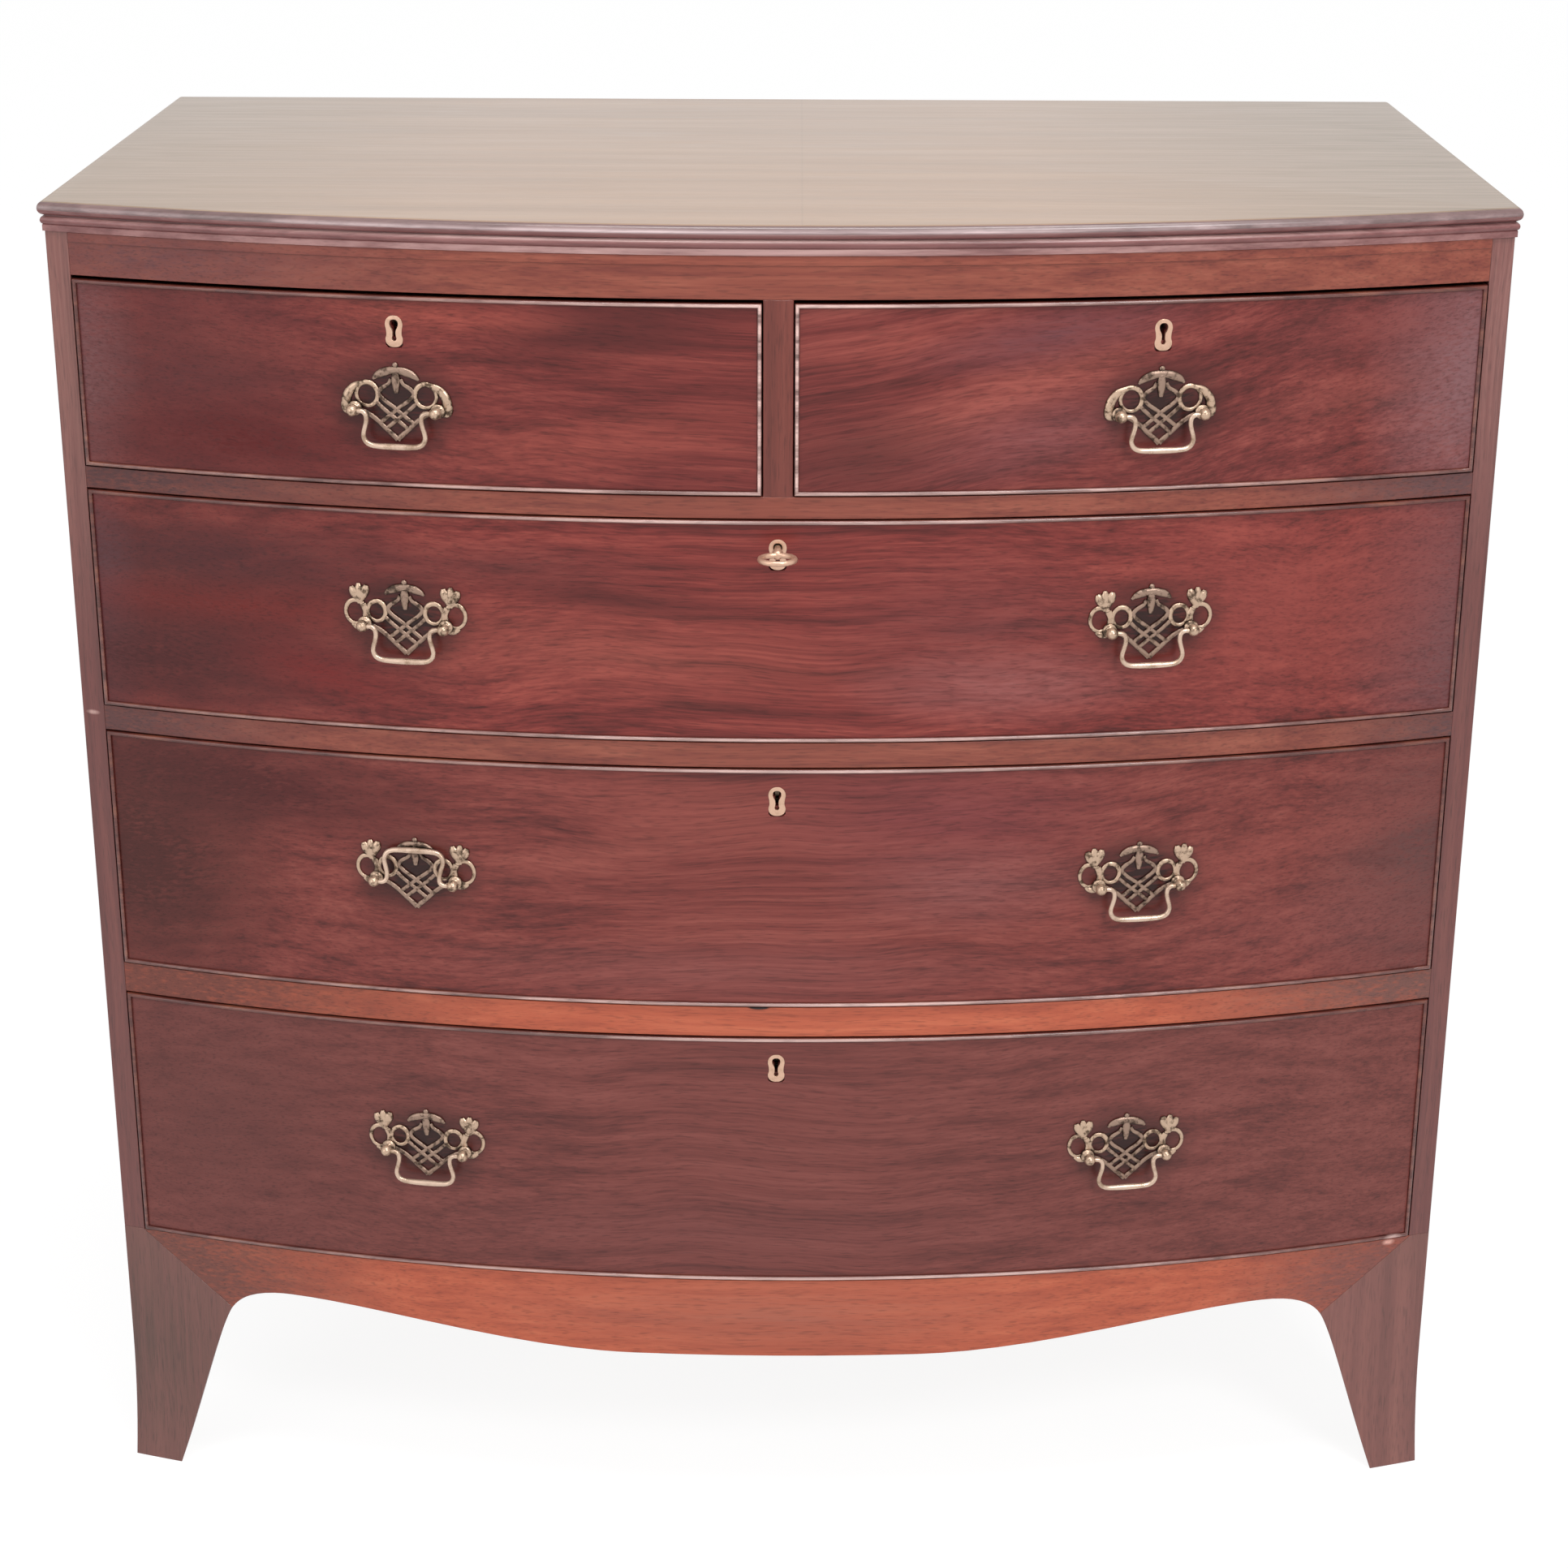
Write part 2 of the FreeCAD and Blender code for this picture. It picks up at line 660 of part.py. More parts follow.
def make_bail():
    """Swan-neck bail, hanging, with its pins in the two posts; its joints are mitred."""
    route = bail_route()
    rings = []
    for index, point in enumerate(route):
        before = route[max(index - 1, 0)]
        after = route[min(index + 1, len(route) - 1)]
        arriving = (point - before) if index else (after - point)
        leaving = (after - point) if index < len(route) - 1 else arriving
        half_turn = arriving.getAngle(leaving) / 2
        direction = arriving.normalize() + leaving.normalize()
        across = direction.cross(V(0, 1, 0)).normalize() / math.cos(half_turn)
        rings.append(regular(V(point.x, -post_reach, point.z), across, V(0, 1, 0), bail_radius, bail_sides))
    return skinned(rings)


def keyhole(y0, y1):
    """Keyhole: round above, with a straight slot below."""
    points = []
    slot = keyslot_half_width
    foot = math.asin(slot / keyhole_radius)
    for index in range(keyhole_sides + 1):
        angle = -math.pi / 2 + foot + (math.tau - 2 * foot) * index / keyhole_sides
        points.append((keyhole_radius * math.cos(angle), keyhole_radius * math.sin(angle)))
    points += [(-slot, -keyslot_length), (slot, -keyslot_length)]
    return elevation(points, y0, y1)


def escutcheon_blank(y0, y1):
    """Keyhole plate outline: round above, waisted, wider at the foot."""
    points = []
    for index in range(keyhole_sides + 1):
        angle = math.pi * index / keyhole_sides
        points.append((escutcheon_radius * math.cos(angle), escutcheon_radius * math.sin(angle)))
    left = [(-escutcheon_waist, -escutcheon_length * 0.45), (-escutcheon_foot, -escutcheon_length + 2.0),
            (-escutcheon_foot + 1.6, -escutcheon_length)]
    points += left + [(-x, z) for x, z in reversed(left)]
    return elevation(points, y0, y1)


def make_escutcheon():
    blank = escutcheon_blank(-escutcheon_proud, escutcheon_thickness)
    return blank.cut(keyhole(-1, escutcheon_thickness + 1))


def bolt_blank(clearance, top, bottom):
    y0 = lock_front + lock_wall + key_bit_margin - clearance
    y1 = lock_back - lock_wall - key_bit_margin + clearance
    half = bolt_half_width + clearance
    return box(-half, half, y0, y1, bottom, top)


def make_bolt():
    """Lock bolt: a plate with an arch over the key's bit."""
    half = throat_radius
    arch = [(half, -2 * half), (half, half * 0.5), (half * 0.5, half), (-half * 0.5, half),
            (-half, half * 0.5), (-half, -2 * half)]
    return bolt_blank(0, lock_drop - bolt_top_gap, -bolt_skirt).cut(elevation(arch, 0, 2 * lock_back))


def lock_envelope(spare=0.0):
    case = box(-lock_half_width, lock_half_width, lock_front, lock_back + spare,
               -lock_below, lock_drop - selvedge_thickness)
    selvedge = box(-selvedge_half_width, selvedge_half_width, lock_front, lock_back + spare,
                   lock_drop - selvedge_thickness, lock_drop + spare)
    return case.fuse(selvedge).removeSplitter()


def make_lock():
    """Lock case with its top plate, hollow for the bolt and the key's bit."""
    bit_room = throat_radius + bolt_clearance
    room = bolt_blank(bolt_clearance, lock_drop + 1, -bit_room)
    return lock_envelope().cut(room.fuse(keyhole(0, lock_front + 2 * lock_wall)))


def make_key():
    """Key with a flat oval bow, lying level, and its bit inside the lock."""
    shank_end = lock_back - lock_wall - key_bit_margin
    bow_near = key_bow_centre - key_bow_half_length
    shank = turned([(key_radius, -bow_near - key_bow_wall / 2), (key_radius, shank_end)])
    collar = turned([(key_radius, -bow_near + key_collar_length), (key_collar_radius, -bow_near),
                     (key_radius, -bow_near - key_collar_length)])

    def oval(half_width, half_length):
        points = []
        for index in range(key_bow_sides):
            angle = math.tau * index / key_bow_sides
            points.append(V(half_width * math.cos(angle), half_length * math.sin(angle) - key_bow_centre,
                            -key_bow_thickness / 2))
        return polygon(points)

    hole = oval(key_bow_half_width - key_bow_wall, key_bow_half_length - key_bow_wall)
    bow = oval(key_bow_half_width, key_bow_half_length).cut(hole).extrude(V(0, 0, key_bow_thickness))
    bit_half = key_bit_thickness / 2
    bit = box(0, key_bit_reach, shank_end - key_bit_length, shank_end, -bit_half, bit_half)
    return shank.multiFuse([collar, bow, bit]).removeSplitter()


def drawer_tails(x0, x1, z0, z1, inner_y):
    """Lapped dovetails of one drawer side, spread up its height."""
    count = max(2, round((z1 - z0) / tail_pitch))
    pitch = (z1 - z0) / count
    tails = []
    for index in range(count):
        middle = z0 + (index + 0.5) * pitch
        root = tail_root / 2
        end = root + tail_spread / 2
        outline = [(inner_y + tail_length, middle - root), (inner_y - tail_length, middle - end),
                   (inner_y - tail_length, middle + end), (inner_y + tail_length, middle + root)]
        tails.append(side_elevation(outline, x0, x1))
    return tails


def make_drawer(tier, x0, x1, lock_x, handle_places):
    """Pieces of one drawer that fills the opening from x0 to x1."""
    z0 = opening_bottom[tier]
    z1 = opening_top[tier]
    left = x0 + front_gap
    right = x1 - front_gap
    foot = z0 + front_gap
    head = z1 - head_gap[tier]
    lock_z = head - lock_drop
    handle_z = (foot + head) / 2 - handle_below_middle[tier]

    foot_edge = foot + bead_width
    head_edge = head - bead_width
    behind = bowed_box(left, right, foot_edge, head_edge, -bead_depth, -front_thickness)
    face = bowed_box(left + bead_width, right - bead_width, foot_edge, head_edge, 0.0, -front_thickness)
    front = behind.fuse(face).removeSplitter()

    # The beads on the upper and lower edges are as deep as the front, those at the ends are rebated in
    beads = []
    corners = [(left, foot), (right, foot), (right, head), (left, head)]
    inner = [(left + bead_width, foot + bead_width), (right - bead_width, foot + bead_width),
             (right - bead_width, head - bead_width), (left + bead_width, head - bead_width)]
    for index in range(4):
        after = (index + 1) % 4
        outline = [corners[index], corners[after], inner[after], inner[index]]
        depth = bead_depth if index % 2 else front_thickness
        beads.append(bowed(elevation(outline, front_limit, rail_back_y), bead_proud, -depth))

    side_foot = z0 + run_gap
    side_head = head - drawer_side_drop
    back_end = back_board_y - drawer_back_gap
    bottom_z = side_foot + bottom_lift
    bottom_top = bottom_z + drawer_bottom
    bottom = box(left + drawer_side - bottom_groove, right - drawer_side + bottom_groove,
                 front_limit, back_end, bottom_z, bottom_top)
    bottom = bowed(bottom, -front_thickness)
    sides = []
    for a, b in ((left, left + drawer_side), (right - drawer_side, right)):
        board = bowed(box(a, b, front_limit, back_end, side_foot, side_head), -front_thickness)
        inner_y = bow_y((a + b) / 2, bow_radius - front_thickness)
        tails = drawer_tails(a, b, bottom_top + drawer_side / 2, side_head, inner_y)
        sides.append(board.multiFuse(tails).removeSplitter())
        front = front.cut(Part.makeCompound(tails))
    sides = [side.cut(bottom) for side in sides]
    back = box(left + drawer_side, right - drawer_side, back_end - drawer_side, back_end,
               bottom_top, side_head - drawer_side_drop)

    lock_room = on_front(lock_envelope(spare=1.0), lock_x, lock_z)
    front = front.cut(lock_room)
    beads = [bead.cut(lock_room) for bead in beads]
    front = front.cut(on_front(escutcheon_blank(-1, escutcheon_thickness), lock_x, lock_z))
    front = front.cut(on_front(keyhole(0, front_thickness), lock_x, lock_z))
    for x in handle_places:
        for u in (-post_half_spacing, post_half_spacing):
            hole = square_shank()
            hole.translate(V(u, 0, 0))
            front = front.cut(on_front(hole, x, handle_z))

    lock = [on_front(make_lock(), lock_x, lock_z), on_front(make_escutcheon(), lock_x, lock_z)]
    pull = make_pull(*(narrow_plate() if tier == "short" else wide_plate()))
    pulls = [on_front(pull, x, handle_z) for x in handle_places]
    bolt = on_front(make_bolt(), lock_x, lock_z)
    return {"front": [front], "box": [*sides, back, bottom], "cock_beads": beads, "lock": lock,
            "pulls": pulls, "bolt": [bolt], "handle_z": handle_z, "lock_z": lock_z}


def bolt_mortise(tier, lock_x):
    """Room in the rail above a drawer for its lock bolt."""
    lock_z = opening_top[tier] - head_gap[tier] - lock_drop
    room = bolt_blank(mortise_clearance, lock_drop + bolt_travel + mortise_clearance, 0)
    return on_front(room, lock_x, lock_z)


os.makedirs("parts", exist_ok=True)

# Carcass
frieze, frieze_tenons = make_frieze()
rails = {}
rail_tenons = list(frieze_tenons)
for tier in ("short", "top", "middle"):
    name = rail_below[tier]
    rails[name], tenons = make_rail(opening_bottom[tier] - rail_thickness[name], opening_bottom[tier])
    rail_tenons += tenons

muntin = make_muntin()

runners = []
dust_boards = []
for tier in ("short", "top", "middle"):
    runners += make_runners(tier)
    dust_boards += make_dust_boards(tier)
dust_rooms = Part.makeCompound(dust_boards)
runners = [runner.cut(dust_rooms) for runner in runners]
guide_z = opening_bottom["short"]
guide = box(-muntin_half, muntin_half, muntin_back, back_board_y, guide_z, guide_z + guide_height)

bottom_board = bowed(box(-inner_half - bottom_housing, inner_half + bottom_housing, front_limit,
                         back_board_y, foot_height - bottom_thickness, foot_height), -apron_thickness)

long_places = (-handle_offset, handle_offset)
drawers = {
    "upper_left": ("short", -inner_half, -muntin_half, -handle_offset, (-handle_offset,)),
    "upper_right": ("short", muntin_half, inner_half, handle_offset, (handle_offset,)),
    "long_top": ("top", -inner_half, inner_half, 0.0, long_places),
    "long_middle": ("middle", -inner_half, inner_half, 0.0, long_places),
    "long_bottom": ("bottom", -inner_half, inner_half, 0.0, long_places),
}

rail_above = {"top": "upper", "middle": "middle", "bottom": "lower"}
stops = []
for tier, x0, x1, lock_x, places in drawers.values():
    stops += make_stops(x0, x1, opening_bottom[tier])
    room = bolt_mortise(tier, lock_x)
    if tier == "short":
        frieze = frieze.cut(room)
    else:
        rails[rail_above[tier]] = rails[rail_above[tier]].cut(room)

frieze = frieze.cut(muntin)
rails["upper"] = rails["upper"].cut(muntin)
for name in rails:
    rails[name] = rails[name].cut(dust_rooms)
apron = make_apron()
back_boards = make_back_boards()
housed = Part.makeCompound([bottom_board, apron, *back_boards])
side = make_side().cut(bottom_board).cut(apron).cut(Part.makeCompound(rail_tenons))
front_foot = [piece.cut(housed) for piece in make_front_foot()]
back_foot = [piece.cut(housed) for piece in make_back_foot()]

save("top_board", make_top())
save("side_right", side)
save("side_left", mirrored(side))
save("back_boards", *back_boards)
save("frieze_rail", frieze)
for name, rail in rails.items():
    save("rail_" + name, rail)
save("muntin", muntin)
save("drawer_runners", *runners)
save("drawer_guide", guide)
save("dust_boards", *dust_boards)
save("drawer_stops", *stops)
save("bottom_board", bottom_board)
save("apron", apron)
save("foot_front_right", *front_foot)
save("foot_front_left", *[mirrored(piece) for piece in front_foot])
save("foot_back_right", *back_foot)
save("foot_back_left", *[mirrored(piece).cut(housed) for piece in back_foot])
save("glue_blocks", *make_blocks())

# Drawers, each with its front, box, beads, lock, bolt, pulls and bails
bail = make_bail()
raised = bail.copy()
raised.rotate(V(0, -post_reach, 0), V(1, 0, 0), -bail_raised_angle)
for name, (tier, x0, x1, lock_x, places) in drawers.items():
    drawer = make_drawer(tier, x0, x1, lock_x, places)
    node = "drawer_" + name
    for piece in ("front", "box", "cock_beads", "lock", "pulls", "bolt"):
        save(node + "_" + piece, *drawer[piece])
    for x in places:
        label = "" if len(places) == 1 else ("_left" if x < 0 else "_right")
        shape = raised if name == "long_middle" and x < 0 else bail
        save("bail_" + name + label, on_front(shape, x, drawer["handle_z"]))
        place = on_front(Part.Vertex(V(0, -post_reach, 0)), x, drawer["handle_z"]).Point
        print("  bail axis", name + label, place, "turn", math.degrees(math.asin(x / bow_radius)))
    if name == "long_top":
        save("key", on_front(make_key(), lock_x, drawer["lock_z"]))
        print("  key axis", drawer["lock_z"])
print("corner_y", corner_y, "bow radius", bow_radius)
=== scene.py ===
import json
import math
from itertools import combinations

import bmesh
import bpy
from mathutils import Matrix, Vector


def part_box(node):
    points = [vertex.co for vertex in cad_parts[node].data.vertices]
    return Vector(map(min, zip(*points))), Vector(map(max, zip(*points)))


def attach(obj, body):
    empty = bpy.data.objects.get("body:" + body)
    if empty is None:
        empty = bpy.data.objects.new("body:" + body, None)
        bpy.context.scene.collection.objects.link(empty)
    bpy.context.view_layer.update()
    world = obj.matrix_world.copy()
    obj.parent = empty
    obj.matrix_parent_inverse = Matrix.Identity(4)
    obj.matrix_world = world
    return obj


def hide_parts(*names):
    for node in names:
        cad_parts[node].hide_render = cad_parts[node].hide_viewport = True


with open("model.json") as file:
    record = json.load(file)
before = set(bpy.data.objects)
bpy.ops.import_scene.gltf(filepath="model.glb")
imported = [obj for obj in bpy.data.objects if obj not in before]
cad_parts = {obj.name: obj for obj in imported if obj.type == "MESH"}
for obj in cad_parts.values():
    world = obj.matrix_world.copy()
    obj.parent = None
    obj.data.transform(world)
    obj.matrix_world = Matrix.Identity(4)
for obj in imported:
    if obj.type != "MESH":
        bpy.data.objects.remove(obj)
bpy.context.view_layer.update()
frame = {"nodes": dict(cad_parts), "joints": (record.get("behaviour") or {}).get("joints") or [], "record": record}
nodes = frame["nodes"]
jointOf = {joint["name"]: joint for joint in frame["joints"]}
bodies = frame["record"]["behaviour"]["bodies"]
bodyOf = {node: body for body, members in bodies.items() for node in members}

# the bow of the front, shared by the top, the beads and the pulls; metres
bow = {
    "radius": 1.67181,
    "frontY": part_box("rail_upper")[0].y,    # face of the front at the middle
    "bodyHalf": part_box("side_right")[1].x,
    "backY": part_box("top_board")[1].y,
    "topZ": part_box("top_board")[1].z,
}
bowAxisY = bow["frontY"] + bow["radius"]
drawerNames = ("upper_left", "upper_right", "long_top", "long_middle", "long_bottom")


def mm(value):
    return value / 1000.0


def bowY(x, proud=0.0):
    return bowAxisY - math.sqrt((bow["radius"] + proud) ** 2 - x * x)


def linear(hexColour):
    # sRGB hex to the linear colour that a shader socket takes
    parts = [int(hexColour[i:i + 2], 16) / 255.0 for i in (0, 2, 4)]
    return tuple(c / 12.92 if c <= 0.04045 else ((c + 0.055) / 1.055) ** 2.4 for c in parts) + (1.0,)


def addNode(tree, kind, sockets=None, stops=None, **settings):
    # one node with its settings; a socket takes a plain value, an output, or a node for its first output
    node = tree.nodes.new(kind)
    for name, value in settings.items():
        setattr(node, name, value)
    for name, value in (sockets or {}).items():
        if isinstance(value, bpy.types.Node):
            value = value.outputs[0]
        if isinstance(value, bpy.types.NodeSocket):
            tree.links.new(value, node.inputs[name])
        else:
            node.inputs[name].default_value = value
    if stops:
        elements = node.color_ramp.elements
        elements.remove(elements[-1])
        elements[0].position, elements[0].color = stops[0]
        for place, colour in stops[1:]:
            elements.new(place).color = colour
    return node


def newMaterial(name):
    material = bpy.data.materials.new(name)
    material.use_nodes = True
    material.node_tree.nodes.clear()
    return material, material.node_tree


def grey(value):
    return (value, value, value, 1.0)


# Mahogany under old French polish: long streaks a few centimetres deep, finer lines in them, short dark
# pores, and a soft gloss that greys it. Sizes (length, depth) in millimetres, angles in degrees; tones are
# dark, middle and light. Patches are lighter or darker places of a board, some of them painted reflection
# or painted shade where marked: (across, up, half width, half height, slope, colour, strength)
plainWood = {
    "grain": "x", "slope": 0.0, "shift": (0, 0, 0), "drift": 60, "driftSize": 260, "streak": (420, 30),
    "spread": 0.2, "line": (170, 4.5), "lineWeight": 0.3, "poreDark": 0.72, "relief": 0.08,
    "pore": (16, 1.1),        # real pores are finer; drawn as coarse as the render can show
    "reliefDepth": 0.4, "roughness": 0.36, "glossChange": 0.06, "specular": 0.3, "coat": 0.25,
    "coatRoughness": 0.22, "patches": (),
}
lineRange = {"From Min": 0.3, "From Max": 0.7}
poreRange = {"From Min": 0.30, "From Max": 0.46}
grainTurn = {"x": (0, 0, 0), "y": (0, 0, math.pi / 2), "z": (0, math.pi / 2, 0)}


def polishedWood(name, own):
    look = dict(plainWood, **own)
    material, tree = newMaterial(name)
    place = addNode(tree, "ShaderNodeTexCoord").outputs["Object"]
    turned = addNode(tree, "ShaderNodeMapping", {
        "Vector": place, "Location": look["shift"], "Rotation": grainTurn[look["grain"]]})
    sloped = addNode(tree, "ShaderNodeMapping", {
        "Vector": turned, "Rotation": (0, math.radians(look["slope"]), 0)})
    # the grain wanders up and down by a few centimetres
    wander = mm(look["drift"])
    drift = addNode(tree, "ShaderNodeTexNoise", {
        "Vector": sloped, "Scale": 1 / mm(look["driftSize"]), "Detail": 2.0}).outputs["Fac"]
    rise = addNode(tree, "ShaderNodeMath", {
        0: drift, 1: wander, 2: -wander / 2}, operation="MULTIPLY_ADD")
    offset = addNode(tree, "ShaderNodeCombineXYZ", {"Z": rise})
    grain = addNode(tree, "ShaderNodeVectorMath", {0: sloped, 1: offset}, operation="ADD")

    def streaks(part, detail):
        along, across = (1 / mm(size) for size in look[part])
        stretched = addNode(tree, "ShaderNodeVectorMath", {
            0: grain, 1: (along, across, across)}, operation="MULTIPLY")
        return addNode(tree, "ShaderNodeTexNoise", {
            "Vector": stretched, "Scale": 1.0, "Detail": detail, "Roughness": 0.6}).outputs["Fac"]

    broad = streaks("streak", 3.0)
    fine = streaks("line", 3.0)
    pores = streaks("pore", 1.0)
    tone = addNode(tree, "ShaderNodeMapRange", {
        "Value": broad, "From Min": 0.5 - look["spread"], "From Max": 0.5 + look["spread"]})
    lines = addNode(tree, "ShaderNodeMapRange", {
        "Value": fine, **lineRange, "To Min": -0.5, "To Max": 0.5})
    tone = addNode(tree, "ShaderNodeMath", {
        0: lines, 1: look["lineWeight"], 2: tone}, operation="MULTIPLY_ADD")
    colour = addNode(tree, "ShaderNodeValToRGB", {"Fac": tone}, stops=[
        (level, linear(shade)) for level, shade in zip((0.0, 0.5, 1.0), look["tones"])])

    broken = addNode(tree, "ShaderNodeMapRange", {
        "Value": fine, **lineRange, "To Min": 0.5, "To Max": 1.3})
    for across, up, width, height, slope, tint, strength in look["patches"]:
        inside = addNode(tree, "ShaderNodeMapping", {
            "Vector": place, "Location": (mm(across), 0, mm(up)), "Rotation": (0, math.radians(-slope), 0),
            "Scale": (mm(width), 10.0, mm(height))}, vector_type="TEXTURE")
        fade = addNode(tree, "ShaderNodeTexGradient", {
            "Vector": inside}, gradient_type="SPHERICAL").outputs["Fac"]
        fade = addNode(tree, "ShaderNodeMath", {0: fade, 1: broken}, operation="MULTIPLY")
        fade = addNode(tree, "ShaderNodeMath", {
            0: fade, 1: strength}, operation="MULTIPLY", use_clamp=True)
        colour = addNode(tree, "ShaderNodeMix", {
            0: fade, 6: colour, 7: linear(tint)}, data_type="RGBA").outputs[2]

    if "wearAndHighlight" in look:
        # paler where the mesh says so: rubbed through, and painted highlight
        rubbed = addNode(tree, "ShaderNodeAttribute", attribute_name="wearAndHighlight").outputs["Fac"]
        patchy = addNode(tree, "ShaderNodeMapRange", {
            "Value": broad, "From Min": 0.35, "From Max": 0.6, "To Min": 0.25})
        rubbed = addNode(tree, "ShaderNodeMath", {
            0: rubbed, 1: patchy}, operation="MULTIPLY", use_clamp=True)
        colour = addNode(tree, "ShaderNodeMix", {
            0: rubbed, 6: colour, 7: linear(look["wearAndHighlight"])}, data_type="RGBA").outputs[2]

    poreTone = addNode(tree, "ShaderNodeMapRange", {
        "Value": pores, **poreRange, "To Min": look["poreDark"]})
    shaded = addNode(tree, "ShaderNodeMix", {
        0: 1.0, 6: colour, 7: poreTone}, data_type="RGBA", blend_type="MULTIPLY").outputs[2]
    gloss = addNode(tree, "ShaderNodeMapRange", {
        "Value": fine, **lineRange, "To Min": look["roughness"] - look["glossChange"],
        "To Max": look["roughness"] + look["glossChange"]})
    relief = addNode(tree, "ShaderNodeBump", {
        "Height": pores, "Strength": look["relief"], "Distance": mm(look["reliefDepth"])})
    shader = addNode(tree, "ShaderNodeBsdfPrincipled", {
        "Base Color": shaded, "Roughness": gloss, "Normal": relief, "IOR": 1.5,
        "Specular IOR Level": look["specular"], "Coat Weight": look["coat"],
        "Coat Roughness": look["coatRoughness"]})
    addNode(tree, "ShaderNodeOutputMaterial", {"Surface": shader})
    return material


# drawer fronts: figured mahogany, each with the light and dark places of its own veneer
frontGrain = {"streak": (620, 12), "spread": 0.27, "line": (240, 2.0),
              "lineWeight": 0.5, "drift": 45, "coat": 0.12, "specular": 0.25}
frontLooks = {
    "upper_left": {
        "tones": ("481715", "682724", "823a33"), "slope": -3, "shift": (0.3, 0, 0.1), "patches": [
            (-430, 895, 170, 150, 0, "501f20", 0.9),
            # painted reflection: greyer and lighter at the far end, where the bow turns away
            (-510, 910, 60, 120, 0, "6c4546", 1.0),
            (-120, 948, 110, 24, 4, "471716", 1.0),
            (-340, 928, 150, 22, -4, "8a4037", 0.2),
            (-240, 955, 110, 16, -2, "96463b", 0.7),
            (-130, 868, 150, 26, 8, "96473c", 0.5),
            (-380, 862, 130, 40, 0, "520d0c", 1.0)]},
    "upper_right": {
        "tones": ("481917", "6a2a27", "864039"), "slope": 9, "shift": (1.7, 0, 0.4), "patches": [
            (165, 905, 150, 26, 20, "a4574c", 0.45),
            (85, 940, 100, 18, 6, "96493f", 0.45),
            (190, 945, 120, 24, 10, "63353a", 0.8),
            (185, 875, 110, 34, 14, "7c4647", 0.6),
            (60, 860, 80, 40, 10, "50201e", 0.8),
            # painted reflection: greyer and lighter at the far end, where the bow turns away
            (500, 910, 90, 150, 0, "7a5254", 1.2),
            (400, 895, 90, 22, 10, "834039", 0.6),
            (420, 945, 90, 40, 6, "6e3432", 0.6)]},
    "long_top": {
        "tones": ("451513", "722b27", "914239"), "shift": (3.1, 0, 0.9), "patches": [
            (-430, 735, 250, 120, 0, "4e1e1d", 1.1),
            (-430, 775, 230, 28, 0, "451a1c", 0.9),
            # painted reflection: greyer at both ends, where the bow turns away
            (-510, 730, 50, 130, 0, "55353a", 1.0),
            (510, 730, 110, 150, 0, "5f4043", 1.2),
            (-400, 735, 210, 26, 0, "6a1a14", 0.7),
            (-460, 690, 170, 50, 0, "421313", 1.0),
            (-330, 690, 90, 28, -12, "6d1a18", 0.7),
            (-120, 715, 240, 42, -3, "92473d", 0.7),
            (-110, 755, 120, 14, -4, "4f1c1a", 0.8),
            (140, 735, 130, 70, 0, "6b3332", 0.6),
            (370, 745, 190, 100, 3, "843933", 0.9),
            (-180, 778, 130, 22, 0, "5c2a28", 0.6),
            (165, 690, 130, 34, 0, "8c504d", 0.8)]},
    "long_middle": {
        "tones": ("4d1d1b", "71312c", "86433b"), "slope": 2, "shift": (4.6, 0, 0.3), "patches": [
            (-410, 600, 200, 42, -5, "4a1716", 1.4),
            (-480, 530, 130, 140, 0, "451a16", 1.3),
            # painted reflection: greyer at the right end, where the bow turns away
            (510, 530, 130, 150, 0, "5a3533", 1.2),
            (-60, 598, 170, 34, -8, "88433b", 0.8),
            (-130, 560, 140, 20, 14, "8a463d", 0.6),
            (130, 590, 150, 60, 0, "75353a", 0.5),
            (340, 545, 240, 26, 14, "864039", 0.7),
            (430, 490, 160, 50, 0, "7e423e", 0.5),
            (-40, 468, 260, 30, 0, "854843", 0.7),
            (140, 535, 110, 40, 0, "86504e", 0.5)]},
    "long_bottom": {
        "tones": ("542724", "6d3631", "7c423c"), "slope": 1, "shift": (6.0, 0, 0.6), "patches": [
            (-440, 320, 190, 170, 0, "5d302d", 0.8),
            (-60, 250, 300, 40, 0, "6a3a38", 0.4)]},
}
# old polish gathers dark in and round the brass; the same patches also paint the shadow that the bails and plates
# cast
grimeAndShade = {"size": (56, 40), "up": 4, "colour": "2a100c", "strength": 1.45}


def grimeAndShadeRound(name):
    places = [joint["pos_m"] for label, joint in jointOf.items() if label.startswith("bail_" + name)]
    return [(1000 * x, 1000 * z + grimeAndShade["up"], *grimeAndShade["size"], 0, grimeAndShade["colour"], grimeAndShade["strength"])
            for x, _, z in places]


frontWood = {}
for name, look in frontLooks.items():
    # dark polish and painted shadow round each bail
    patches = look["patches"] + grimeAndShadeRound(name)
    frontWood[name] = polishedWood("figuredMahogany_" + name, {**frontGrain, **look, "patches": patches})

